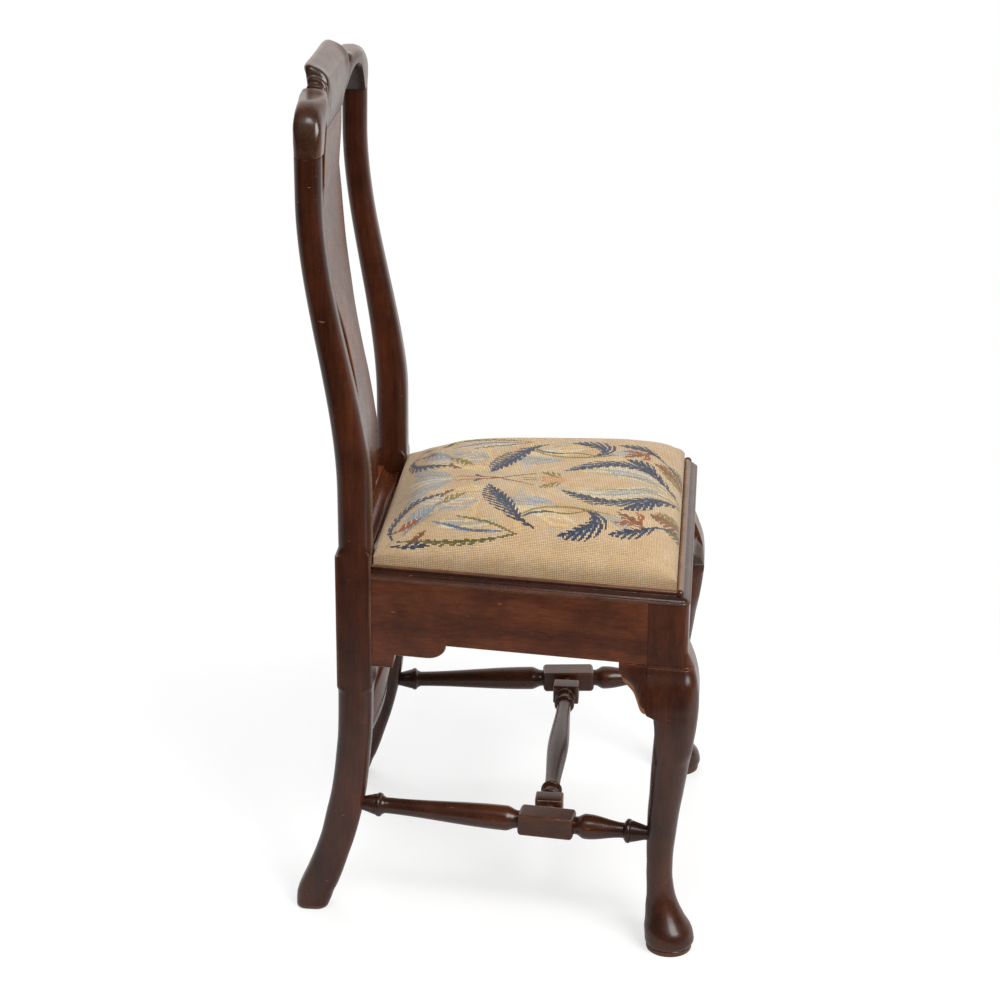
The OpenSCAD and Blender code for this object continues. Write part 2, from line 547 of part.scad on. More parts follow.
// Stretchers, turned between square blocks
stretcher_seat = 15;
front_seat = 9;
stretcher_y0 = post_back(stretcher_h) - post_depth(stretcher_h) / 2;
stretcher_x0 = post_mid(stretcher_h);
stretcher_y1 = (leg_y0(stretcher_h) + leg_y1(stretcher_h)) / 2;
stretcher_x1 = (leg_x0(stretcher_h) + leg_x1(stretcher_h)) / 2;
stretcher_run = stretcher_y0 - stretcher_y1;
stretcher_length = sqrt(stretcher_run * stretcher_run
    + (stretcher_x1 - stretcher_x0) * (stretcher_x1 - stretcher_x0));
function stretcher_x(y) = mix(stretcher_x0, stretcher_x1, (stretcher_y0 - y) / stretcher_run);
// Stands the Z axis along the side stretcher, from the rear leg's middle to the front leg's
module stretcher_place(side) {
    both(side) translate([stretcher_x0, stretcher_y0, stretcher_h])
        rotate([0, 0, atan((stretcher_x1 - stretcher_x0) / stretcher_run)]) rotate([90, 0, 0]) children();
}
// Points of a turned outline: [share of length, radius]
function bead(at, half, r0, r1) = [for (i = [0:6])
    [at - half * cos(i * 30), r0 + (r1 - r0) * sin(i * 30)]];
function swell(from, to, r0, r1) = [for (i = [0:8]) let (t = i / 8) [mix(from, to, t),
    mix(r0, r1, ease(t))]];
block_w = 29.3;
block_h = 26.6;
block_run = 66.4;
medial_share = 0.6415;
medial_y = stretcher_y0 - stretcher_run * medial_share;
ring_half = 2.9;
side_r = stretcher_d / 2;
ring_r = 14;
neck_r = 9;
tenon_r = tenon_d / 2;
rear_rings_share = [0.102, 0.1185];
rear_neck_share = 0.136;
front_ring_share = 0.904;
front_neck_share = 0.883;
front_bulb_share = 0.763;
function along(share) = share * stretcher_length;
side_outline = concat([[-stretcher_seat, 0], [-stretcher_seat, tenon_r]],
    [[along(0.062), tenon_r]],
    bead(along(rear_rings_share[0]), ring_half, ring_r - ring_half, ring_r),
    bead(along(rear_rings_share[1]), ring_half, ring_r - ring_half, ring_r),
    swell(along(rear_neck_share), along(0.5), neck_r, side_r),
    swell(along(0.513), along(0.553), side_r, side_r - ring_half),
    [[along(0.72), side_r - ring_half]],
    swell(along(0.735), along(front_bulb_share), side_r - ring_half, side_r),
    swell(along(front_bulb_share) + ring_half, along(front_neck_share), side_r, neck_r),
    bead(along(front_ring_share), ring_half * 1.2, ring_r - ring_half, ring_r),
    [[along(0.94), tenon_r]],
    [[stretcher_length + front_seat, tenon_r], [stretcher_length + front_seat, 0]]);
module side_stretcher(side) {
    color(walnut) difference() {
        stretcher_place(side) union() {
            rotate_extrude($fn = 64) polygon([for (p = side_outline) [p[1], p[0]]]);
            translate([-block_w / 2, -block_h / 2, along(medial_share) - block_run / 2])
                cube([block_w, block_h, block_run]);
        }
        medial_bore();
    }
}
module side_stretcher_right() { side_stretcher(-1); }
module side_stretcher_left() { side_stretcher(1); }

// Medial stretcher between the blocks of the side stretchers
medial_half = stretcher_x(medial_y) - block_w / 2;
medial_reach = 10;
medial_block_share = [0.779, 0.9176];
medial_block_w = 33;
medial_block_h = 25;
medial_r = medial_d / 2;
medial_end_r = 8.2;
function across(share) = share * medial_half;
medial_side = concat(swell(0, across(0.6), medial_r, neck_r),
    bead(across(0.64), ring_half, ring_r - ring_half * 1.6, ring_r - ring_half * 0.4),
    [[across(0.7), neck_r]], bead(across(0.75), ring_half, ring_r - ring_half * 1.6, ring_r - ring_half * 0.4),
    [[across(0.79), neck_r], [across(0.91), neck_r]],
    bead(across(0.935), ring_half, medial_end_r, medial_end_r + ring_half / 2),
    [[medial_half + medial_reach, medial_end_r], [medial_half + medial_reach, 0]]);
module medial_bore() {
    translate([0, medial_y, stretcher_h]) rotate([0, 90, 0])
        cylinder(r = medial_end_r + joint_gap, h = (medial_half + medial_reach + joint_gap) * 2,
            center = true, $fn = 48);
}
module medial_stretcher() {
    color(walnut) translate([0, medial_y, stretcher_h]) {
        rotate([0, 90, 0]) rotate_extrude($fn = 64) polygon(concat(
            [for (i = [len(medial_side) - 1:-1:0]) [medial_side[i][1], -medial_side[i][0]]],
            [for (i = [1:len(medial_side) - 1]) [medial_side[i][1], medial_side[i][0]]]));
        for (side = [1, -1]) both(side)
            translate([across(medial_block_share[0]), -medial_block_w / 2, -medial_block_h / 2])
                cube([across(medial_block_share[1] - medial_block_share[0]), medial_block_w, medial_block_h]);
    }
}

// Rear stretcher between the rear legs
rear_stretcher_y = post_back(rear_stretcher_h) - post_depth(rear_stretcher_h) / 2;
rear_stretcher_half = post_mid(rear_stretcher_h) - post_width(rear_stretcher_h) / 2 + stretcher_seat;
rear_side = concat(swell(0, rear_stretcher_half * 0.8, rear_stretcher_d / 2, neck_r),
    [[rear_stretcher_half * 0.84, tenon_r], [rear_stretcher_half, tenon_r], [rear_stretcher_half, 0]]);
module rear_stretcher() {
    color(walnut_dark) translate([0, rear_stretcher_y, rear_stretcher_h])
        rotate([0, 90, 0]) rotate_extrude($fn = 64) polygon(concat(
            [for (i = [len(rear_side) - 1:-1:0]) [rear_side[i][1], -rear_side[i][0]]],
            [for (i = [1:len(rear_side) - 1]) [rear_side[i][1], rear_side[i][0]]]));
}

// Moulding on the rail tops: a low lip just outside the face, a cove, and a bead inside.
// Points are [inset from the rail's face, height above the rail top].
mould_lip = 1.4;
lip_r = 2;
bead_r = 3.8;
mould_profile = concat([[mould_w, 0], [mould_w, mould_h - bead_r]],
    [for (i = [1:8]) [mould_w - bead_r + bead_r * cos(i * 180 / 8),
        mould_h - bead_r + bead_r * sin(i * 180 / 8)]],
    [for (i = [1:6]) let (t = i / 6) [mix(mould_w - bead_r * 2, lip_r, sin(t * 90)),
        mix(mould_h - bead_r, lip_r * 2, 1 - cos(t * 90))]],
    [for (i = [0:6]) [lip_r - mould_lip - lip_r * sin(i * 180 / 6),
        lip_r + lip_r * cos(i * 180 / 6)]]);
side_angle = atan(side_slope);
mitre_reach = 40;
// Corner of the rails and the inner point of the mitre between side and front mouldings
corner_out = [rail_x(front_y) + mitre_reach * (1 + side_slope), front_y - mitre_reach];
corner_in = [rail_x(front_y + mitre_reach, mitre_reach), front_y + mitre_reach];
module side_mould() {
    y1 = post_front_y - joint_gap;
    intersection() {
        translate([rail_x(y1), y1, seat_h]) rotate([0, 0, side_angle]) rotate([90, 0, 0])
            translate([0, 0, -mitre_reach]) linear_extrude(seat_depth * slant + mitre_reach * 2)
                polygon([for (p = mould_profile) [-p[0], p[1]]]);
        translate([0, 0, seat_h]) linear_extrude(mould_h + overrun)
            polygon([corner_out + [joint_gap, joint_gap], corner_in + [joint_gap, joint_gap],
                [rail_x(y1, mitre_reach), y1], [seat_front_w, y1], [seat_front_w, corner_out[1]]]);
    }
}
module seat_moulding_right() { color(walnut_dark) both(-1) side_mould(); }
module seat_moulding_left() { color(walnut_dark) both(1) side_mould(); }
module seat_moulding_front() {
    color(walnut_dark) intersection() {
        translate([-seat_front_w, front_y, seat_h]) rotate([90, 0, 90]) linear_extrude(seat_front_w * 2)
            polygon(mould_profile);
        translate([0, 0, seat_h]) linear_extrude(mould_h + overrun)
            polygon([corner_out, corner_in, [-corner_in[0], corner_in[1]], [-corner_out[0], corner_out[1]]]);
    }
}

// Glued blocks inside the corners of the seat frame
corner_block_h = 32;
corner_block_drop = 12;
corner_leg = 52;
module corner_block_front() {
    y0 = front_y + front_rail_t + joint_gap;
    y1 = stile_back_y + joint_gap;
    x1 = stile_inner_x - joint_gap;
    inset = rail_t + joint_gap;
    translate([0, 0, seat_h - corner_block_drop - corner_block_h]) linear_extrude(corner_block_h)
        polygon([[x1 - corner_leg, y0], [x1, y0], [x1, y1], [rail_x(y1, inset), y1],
            [rail_x(y1 + corner_leg, inset), y1 + corner_leg]]);
}
module corner_block_rear() {
    y0 = rear_rail_y - joint_gap;
    y1 = post_front_y - joint_gap;
    x1 = post_x - post_w / 2 - joint_gap;
    inset = rail_t + joint_gap;
    translate([0, 0, seat_h - corner_block_drop - corner_block_h]) linear_extrude(corner_block_h)
        polygon([[x1 - corner_leg, y0], [rail_x(y1 - corner_leg, inset), y1 - corner_leg],
            [rail_x(y1, inset), y1], [x1, y1], [x1, y0]]);
}
module corner_block_front_right() { color(beech) both(-1) corner_block_front(); }
module corner_block_front_left() { color(beech) both(1) corner_block_front(); }
module corner_block_rear_right() { color(beech) both(-1) corner_block_rear(); }
module corner_block_rear_left() { color(beech) both(1) corner_block_rear(); }

// Loose seat frame, halved together at its corners, inside the turned-under cover
seat_in = mould_w + rest_gap;
slip_in = seat_in + cover_t + joint_gap;
slip_base = seat_h + rest_gap + cover_t + joint_gap;
slip_y0 = front_y + slip_in;
slip_y1 = post_front_y - rest_gap * 3 - cover_t - joint_gap;
slip_top = slip_base + slip_t;
module slip_plan(y0, y1, outer, inner) {
    polygon([[rail_x(y0, outer), y0], [rail_x(y1, outer), y1],
        [rail_x(y1, inner), y1], [rail_x(y0, inner), y0]]);
}
// Part of the corner lap that lies above or below the half
module lap(y0, y1, upper, side, grow) {
    both(side) translate([0, 0, upper ? slip_base + slip_t / 2 - grow : slip_base - overrun])
        linear_extrude(slip_t / 2 + overrun + (upper ? 0 : grow))
            slip_plan(y0 - grow, y1 + grow, slip_in - overrun, slip_in + slip_w + grow);
}
module slip_cross(y0, y1, cut0, cut1) {
    difference() {
        translate([0, 0, slip_base]) linear_extrude(slip_t)
            polygon([[-rail_x(y0, slip_in), y0], [rail_x(y0, slip_in), y0], [rail_x(y1, slip_in), y1],
                [-rail_x(y1, slip_in), y1]]);
        for (side = [1, -1]) lap(cut0, cut1, true, side, joint_gap);
    }
}
module slip_side(side) {
    difference() {
        both(side) translate([0, 0, slip_base]) linear_extrude(slip_t)
            slip_plan(slip_y0, slip_y1, slip_in, slip_in + slip_w);
        lap(slip_y0 - overrun, slip_y0 + slip_w, false, side, joint_gap);
        lap(slip_y1 - slip_w, slip_y1 + overrun, false, side, joint_gap);
    }
}
module slip_rail_front() {
    color(beech) slip_cross(slip_y0, slip_y0 + slip_w, slip_y0 - overrun, slip_y0 + slip_w + overrun);
}
module slip_rail_rear() {
    color(beech) slip_cross(slip_y1 - slip_w, slip_y1, slip_y1 - slip_w - overrun, slip_y1 + overrun);
}
module slip_rail_right() { color(beech) slip_side(-1); }
module slip_rail_left() { color(beech) slip_side(1); }

// Webbing over the open frame, cloth over the webbing
web_w = 48;
web_t = 1.4;
web_count_long = 4;
web_count_cross = 3;
web_tack = 22;
web_top = slip_top + joint_gap * 2 + web_t * 2;
module webbing_lengthwise() {
    span = slip_x_at(slip_y1) * 2 - web_w * 1.5;
    color(jute) for (i = [0:web_count_long - 1])
        translate([(i / (web_count_long - 1) - 0.5) * span - web_w / 2,
            slip_y0 + slip_w - web_tack, slip_top + joint_gap])
            cube([web_w, slip_y1 - slip_y0 - slip_w * 2 + web_tack * 2, web_t]);
}
function slip_x_at(y) = rail_x(y, slip_in + slip_w / 2);
module webbing_crosswise() {
    y0 = slip_y0 + slip_w;
    y1 = slip_y1 - slip_w;
    color(jute) for (i = [0:web_count_cross - 1]) {
        y = mix(y0 + web_w, y1 - web_w, i / (web_count_cross - 1));
        half = slip_x_at(y + web_w / 2) + slip_w / 4;
        translate([-half, y - web_w / 2, slip_top + joint_gap * 2 + web_t]) cube([half * 2, web_w, web_t]);
    }
}
cloth_t = 0.8;
cloth_in = 8;
cloth_base = web_top + joint_gap;
module base_cloth() {
    color(linen) translate([0, 0, cloth_base]) linear_extrude(cloth_t)
        polygon([for (p = [[1, slip_y0 + cloth_in], [1, slip_y1 - cloth_in], [-1, slip_y1 - cloth_in],
            [-1, slip_y0 + cloth_in]]) [p[0] * rail_x(p[1], slip_in + cloth_in), p[1]]]);
}

// Crowned cushion. Its plan is the seat's, drawn in by an inset; its height follows a flat-topped
// crown that falls steeply near the edges.
crown_power = 5;
function crown_lift(u, v) = pow((1 - pow(abs(u), crown_power)) * (1 - pow(abs(v), crown_power)), 0.5);
function cushion_at(u, v, inset, y0, y1) = let (y = mix(y0, y1, (v + 1) / 2)) [u * rail_x(y, inset), y];
grid_shares = [-1, -0.985, -0.95, -0.89, -0.8, -0.68, -0.52, -0.34, -0.14, 0.06, 0.25, 0.43, 0.59, 0.73,
    0.84, 0.92, 0.97, 1];
function crowned_grid(inset, y0, y1, edge, lift_h, shares) = [for (v = shares, u = shares)
    let (p = cushion_at(u, v, inset, y0, y1)) [p[0], p[1], edge + lift_h * crown_lift(u, v)]];
// Numbers of the grid's edge points, anticlockwise from above, and the same edge at one height
function rim(n) = concat([for (i = [0:n - 1]) i], [for (j = [1:n - 1]) j * n + n - 1],
    [for (i = [n - 2:-1:0]) (n - 1) * n + i], [for (j = [n - 2:-1:1]) j * n]);
function rim_at(inset, y0, y1, z, shares) = let (n = len(shares)) [for (k = rim(n))
    let (p = cushion_at(shares[k % n], shares[floor(k / n)], inset, y0, y1)) [p[0], p[1], z]];
// Faces between two edge loops of m points that start at a and b
function band(a, b, m) = [for (k = [0:m - 1]) let (l = (k + 1) % m)
    each [[a + k, b + k, b + l], [a + k, b + l, a + l]]];
function grid_faces(n, at, up) = [for (j = [0:n - 2], i = [0:n - 2]) let (a = at + j * n + i)
    each up ? [[a, a + n, a + n + 1], [a, a + n + 1, a + 1]] : [[a, a + n + 1, a + n], [a, a + 1, a + n + 1]]];
pad_base = cloth_base + cloth_t + joint_gap;
// Upright side of the stuffing below its crown, and the edge where the cover turns over it
pad_edge = 2.5;
cushion_edge = pad_base + pad_edge + joint_gap + cover_t;
module stuffing() {
    inset = slip_in + joint_gap;
    y0 = slip_y0 + joint_gap;
    y1 = slip_y1 - joint_gap;
    n = len(grid_shares);
    m = 4 * (n - 1);
    edges = rim(n);
    top = crowned_grid(inset, y0, y1, pad_base + pad_edge, crown_h - cover_t * 2, grid_shares);
    color(linen) polyhedron(concat(top, rim_at(inset, y0, y1, pad_base, grid_shares),
        [[0, (y0 + y1) / 2, pad_base]]), concat(grid_faces(n, 0, true),
        [for (k = [0:m - 1]) let (l = (k + 1) % m)
            each [[n * n + k, edges[k], edges[l]], [n * n + k, edges[l], n * n + l],
                [n * n + k, n * n + l, n * n + m]]]), convexity = 8);
}
// Cover: one sheet over the crown, down the sides and turned under the loose frame
fold_w = 18;
module needlework_cover() {
    y0 = front_y + seat_in;
    y1 = post_front_y - rest_gap * 3;
    z0 = seat_h + rest_gap;
    n = len(grid_shares);
    m = 4 * (n - 1);
    edges = rim(n);
    outer = n * n;
    low = outer + n * n;
    color(wool) polyhedron(concat(
        crowned_grid(seat_in, y0, y1, cushion_edge, crown_h, grid_shares),
        crowned_grid(seat_in + cover_t, y0 + cover_t, y1 - cover_t, cushion_edge - cover_t,
            crown_h - cover_t / 2, grid_shares),
        rim_at(seat_in, y0, y1, z0, grid_shares),
        rim_at(seat_in + fold_w, y0 + fold_w, y1 - fold_w, z0, grid_shares),
        rim_at(seat_in + fold_w, y0 + fold_w, y1 - fold_w, z0 + cover_t, grid_shares),
        rim_at(seat_in + cover_t, y0 + cover_t, y1 - cover_t, z0 + cover_t, grid_shares)), concat(
        grid_faces(n, 0, true), grid_faces(n, outer, false),
        [for (k = [0:m - 1]) let (l = (k + 1) % m)
            each [[low + k, edges[k], edges[l]], [low + k, edges[l], low + l]]],
        band(low + m, low, m), band(low + m * 2, low + m, m), band(low + m * 3, low + m * 2, m),
        [for (k = [0:m - 1]) let (l = (k + 1) % m) each [[low + m * 3 + k, low + m * 3 + l, outer + edges[l]],
            [low + m * 3 + k, outer + edges[l], outer + edges[k]]]]), convexity = 8);
}

rear_post_right();
rear_post_left();
crest_rail();
splat();
splat_shoe();
rear_rail();
side_rail_right();
side_rail_left();
front_rail();
front_leg_right();
front_leg_left();
knee_bracket_side_right();
knee_bracket_side_left();
knee_bracket_front_right();
knee_bracket_front_left();
side_stretcher_right();
side_stretcher_left();
medial_stretcher();
rear_stretcher();
seat_moulding_right();
seat_moulding_left();
seat_moulding_front();
corner_block_front_right();
corner_block_front_left();
corner_block_rear_right();
corner_block_rear_left();
slip_rail_front();
slip_rail_rear();
slip_rail_right();
slip_rail_left();
webbing_lengthwise();
webbing_crosswise();
base_cloth();
stuffing();
needlework_cover();
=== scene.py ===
import math
from functools import partial

import bpy
import bmesh
import numpy as np
from mathutils import Matrix, Vector


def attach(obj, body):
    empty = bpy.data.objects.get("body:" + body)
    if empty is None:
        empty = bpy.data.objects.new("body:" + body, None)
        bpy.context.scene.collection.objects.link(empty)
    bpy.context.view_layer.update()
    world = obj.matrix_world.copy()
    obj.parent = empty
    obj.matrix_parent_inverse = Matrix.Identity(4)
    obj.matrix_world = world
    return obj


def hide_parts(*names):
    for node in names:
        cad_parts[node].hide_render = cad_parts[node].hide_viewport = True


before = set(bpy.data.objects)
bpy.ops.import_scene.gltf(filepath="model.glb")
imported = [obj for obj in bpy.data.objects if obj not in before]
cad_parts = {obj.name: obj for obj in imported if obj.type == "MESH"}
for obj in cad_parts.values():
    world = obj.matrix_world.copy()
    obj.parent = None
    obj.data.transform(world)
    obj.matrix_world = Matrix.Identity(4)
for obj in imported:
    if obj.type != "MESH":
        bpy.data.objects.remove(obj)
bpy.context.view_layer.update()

mm = 0.001

# plain helpers


def ease(t):
    # smooth step: 3t^2 - 2t^3 between 0 and 1
    t = np.clip(t, 0, 1)
    return t * t * (3 - 2 * t)


def mix(a, b, t):
    return a + (b - a) * t


def between(a, start, rise, end, fall):
    # smooth step up from the start over the rise, and down again from the end over the fall
    return ease((a - start) / rise) * (1 - ease((a - end) / fall))


def curve(t, table):
    # smooth curve through [share, value] rows that never overshoots a row (harmonic mean of the slopes)
    x, y = np.array(table, float).T
    h = np.diff(x)
    rise = np.diff(y) / h
    a, b = rise[:-1], rise[1:]
    bends = np.concatenate([rise[:1], np.where(a * b > 0, 2 * a * b / np.where(a + b == 0, 1, a + b), 0), rise[-1:]])
    i = np.clip(np.searchsorted(x, t, side="left") - 1, 0, len(h) - 1)
    u = np.clip((t - x[i]) / h[i], 0, 1)
    return (y[i] * (1 + 2 * u) * (1 - u) ** 2 + y[i + 1] * u * u * (3 - 2 * u)
            + h[i] * u * (1 - u) * (bends[i] * (1 - u) - bends[i + 1] * u))


def hexColor(text):
    # sRGB hex to linear light
    part = [int(text[i:i + 2], 16) / 255 for i in (1, 3, 5)]
    return [c / 12.92 if c <= 0.04045 else ((c + 0.055) / 1.055) ** 2.4 for c in part] + [1.0]


def gridFaces(rows, columns, wrap):
    # one quad between each point, its neighbour in the row and the two above
    i, j = np.meshgrid(np.arange(rows - 1), np.arange(columns if wrap else columns - 1), indexing="ij")
    k = (j + 1) % columns
    return np.stack([i * columns + j, i * columns + k, (i + 1) * columns + k, (i + 1) * columns + j], -1).reshape(-1, 4)


def xyz(x, y, z):
    # points of a grid; each measure is a number, a row, a column or the whole grid
    return np.stack(np.broadcast_arrays(x, y, z), -1)


def rowsOf(*parts):
    # one outline of (a, b) rows from single points and from pairs of arrays
    return np.concatenate([np.stack(np.broadcast_arrays(*part), -1).reshape(-1, 2) for part in parts])


def loft(rings, wear=0):
    # closed skin over a stack of rings with the same count, one flat face at each end, turned outwards
    rows, columns = rings.shape[:2]
    points = rings.reshape(-1, 3)
    quads = gridFaces(rows, columns, True)
    caps = [np.arange(columns)[::-1], np.arange((rows - 1) * columns, rows * columns)]
    # it is inside out when the tetrahedra from the origin over all triangles add up below zero
    fans = [np.stack([np.full(columns - 2, cap[0]), cap[1:-1], cap[2:]], -1) for cap in caps]
    a, b, c = points[np.concatenate([quads[:, :3], quads[:, [0, 2, 3]]] + fans)].transpose(1, 0, 2)
    if (a * np.cross(b, c)).sum() < 0:
        quads, caps = quads[:, ::-1], [cap[::-1] for cap in caps]
    return [points, quads, caps, np.broadcast_to(wear, (rows, columns)).reshape(-1)]


def mirrored(part):
    # the same part on the other side of x = 0, its faces turned outwards again
    points, quads, caps, wear = part
    return [points * [-1, 1, 1], quads[:, ::-1], [cap[::-1] for cap in caps], wear]


def smoothed(mesh, sharp=32):
    # smooth shading, except at edges sharper than this many degrees
    mesh.polygons.foreach_set("use_smooth", np.ones(len(mesh.polygons), bool))
    mesh.set_sharp_from_angle(angle=math.radians(sharp))


def newObject(name, data):
    thing = bpy.data.objects.new(name, data)
    bpy.context.scene.collection.objects.link(thing)
    return thing


def placePiece(name, mesh, material, nodes, slot="walnut", body="frame", bevel=0, segments=2):
    piece = newObject(name, mesh)
    mesh.materials.append(material)
    if bevel:
        edge = piece.modifiers.new("arris", "BEVEL")
        edge.width, edge.segments, edge.limit_method = bevel * mm, segments, "ANGLE"
        edge.angle_limit, edge.harden_normals = math.radians(30), True
        if material.name + "Worn" in bpy.data.materials:
            mesh.materials.append(bpy.data.materials[material.name + "Worn"])
            edge.material = 1
    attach(piece, body)
    if nodes:
        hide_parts(*nodes)
    return piece


def addPiece(name, parts, material, nodes, slot="walnut", body="frame", sharp=32, weigh=None, **arris):
    # one mesh of closed parts with their wear and painted light; weigh says which edges the bevel eases
    faces, at = [], 0
    for points, quads, caps, _ in parts:
        faces += (quads + at).tolist() + [(cap + at).tolist() for cap in caps]
        at += len(points)
    mesh = bpy.data.meshes.new(name)
    mesh.from_pydata((np.concatenate([part[0] for part in parts]) * mm).tolist(), [], faces)
    smoothed(mesh, sharp)
    wear = np.concatenate([part[3] for part in parts]).astype(np.float32)
    mesh.attributes.new("wear", "FLOAT", "POINT").data.foreach_set("value", wear)
    mesh.update()
    piece = placePiece(name, mesh, material, nodes, slot, body, **arris)
    if weigh:
        ends = np.zeros(len(mesh.edges) * 2, int)
        mesh.edges.foreach_get("vertices", ends)
        weights = weigh(ends.reshape(-1, 2)).astype(np.float32)
        mesh.attributes.new("bevel_weight_edge", "FLOAT", "EDGE").data.foreach_set("value", weights)
        piece.modifiers["arris"].limit_method = "WEIGHT"
    return piece


def addPair(name, parts, material, node, right=None, **more):
    # a piece on the sitter's left, and its mirror image or another piece's on the right
    addPiece(name + "Left", parts, material, [node + "_left"], **more)
    addPiece(name + "Right", [mirrored(part) for part in right or parts], material, [node + "_right"], **more)


def copyNode(name, node, material, bevel, slot="walnut", body="frame"):
    # a CAD node's own shape with its loose triangles merged and its arrises eased
    work = bmesh.new()
    work.from_mesh(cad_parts[node].data)
    bmesh.ops.remove_doubles(work, verts=work.verts, dist=1e-6)
    bmesh.ops.dissolve_limit(work, angle_limit=math.radians(1), verts=work.verts, edges=work.edges)
    mesh = bpy.data.meshes.new(name)
    work.to_mesh(mesh)
    work.free()
    for key in ("custom_normal", "sharp_face", "sharp_edge"):
        if key in mesh.attributes:
            mesh.attributes.remove(mesh.attributes[key])
    smoothed(mesh)
    mesh.attributes.new("wear", "FLOAT", "POINT")
    placePiece(name, mesh, material, [node], slot, body, bevel)


def ringGrid(x0, x1, y0, y1, radii, arcSteps=8, sideShares=(0.05, 0.28, 0.5, 0.72, 0.95)):
    # rounded rectangle at each level, anticlockwise from above: corner centre plus radius times (cos, sin)
    x0, x1, y0, y1 = np.broadcast_arrays(x0, x1, y0, y1)
    most = np.minimum(x1 - x0, y1 - y0) / 2 * 0.98
    r = [np.minimum(radius, most) for radius in radii]
    centres = [(x1 - r[0], y1 - r[0]), (x0 + r[1], y1 - r[1]), (x0 + r[2], y0 + r[2]), (x1 - r[3], y0 + r[3])]
    turn = np.linspace(0, math.pi / 2, arcSteps + 1)
    arcs = [np.stack([cx[:, None] + r[k][:, None] * np.cos(turn + math.pi / 2 * k),
                      cy[:, None] + r[k][:, None] * np.sin(turn + math.pi / 2 * k)], -1)
            for k, (cx, cy) in enumerate(centres)]
    share = np.array(sideShares)[None, :, None]
    parts, wear = [], []
    for k in range(4):
        a, b = arcs[k][:, -1:], arcs[(k + 1) % 4][:, :1]
        parts += [arcs[k], a + (b - a) * share]
        worn = np.clip(1 - r[k] / 5, 0, 1)[:, None]
        wear += [np.repeat(worn, arcSteps + 1, 1), np.zeros((len(worn), len(sideShares)))]
    return np.concatenate(parts, 1), np.concatenate(wear, 1)


def atHeight(flat, z):
    return xyz(flat[..., 0], flat[..., 1], z[:, None])


def levels(*marks, step=4.0):
    # heights between the marks no further apart than a step
    spans = zip(marks[:-1], marks[1:])
    return np.concatenate([np.linspace(a, b, max(2, math.ceil((b - a) / step) + 1))[:-1] for a, b in spans] + [[marks[-1]]])


# materials


def addNode(tree, kind, stops=(), **values):
    # one node; a value is a setting of the node, a link or a socket's own value, and stops are a ramp's colours
    # a link is a node, for its first output in use, or (node, output); a socket has a name, or i and its number
    node = tree.nodes.new("ShaderNode" + kind)
    for key, value in values.items():
        if hasattr(node, key):
            setattr(node, key, value)
            continue
        name = key.replace("_", " ")
        named = (one for one in node.inputs if one.enabled and one.name == name)
        socket = node.inputs[int(key[1:])] if key[1:].isdigit() else next(named)
        if isinstance(value, bpy.types.Node):
            tree.links.new(next(out for out in value.outputs if out.enabled), socket)
        elif isinstance(value, tuple) and isinstance(value[0], bpy.types.Node):
            tree.links.new(value[0].outputs[value[1]], socket)
        else:
            socket.default_value = value
    if stops:
        elements = node.color_ramp.elements
        while len(elements) < len(stops):
            elements.new(0.5)
        for element, (place, color) in zip(elements, stops):
            element.position = place
            element.color = hexColor(color) if isinstance(color, str) else [color, color, color, 1]
    return node


def newMaterial(name):
    material = bpy.data.materials.new(name)
    material.use_nodes = True
    material.node_tree.nodes.clear()
    return material, partial(addNode, material.node_tree)


# settings that many nodes share
colorMix, floatMix = {"data_type": "RGBA"}, {"data_type": "FLOAT"}
colorTimes = {"data_type": "RGBA", "blend_type": "MULTIPLY"}
times, highest = {"operation": "MULTIPLY"}, {"operation": "MAXIMUM"}
smoothRange = {"interpolation_type": "SMOOTHSTEP"}


# scales are counts in a metre, squeezed along the grain; the per-point attribute of wear and painted light runs from
# -1, darkening and painted shade, to 1, rubbed pale and painted highlights
wood = {"raw": "#8a5733", "lowTone": 0.58, "grain": 420, "figure": 26, "squeeze": 0.06, "pores": 1500.0,
        "poreSqueeze": 0.035, "mottle": 16.0, "rub": 30.0, "nicks": 210.0, "shine": 45.0, "rubbed": 0.65,
        "coatRoughness": 0.15}


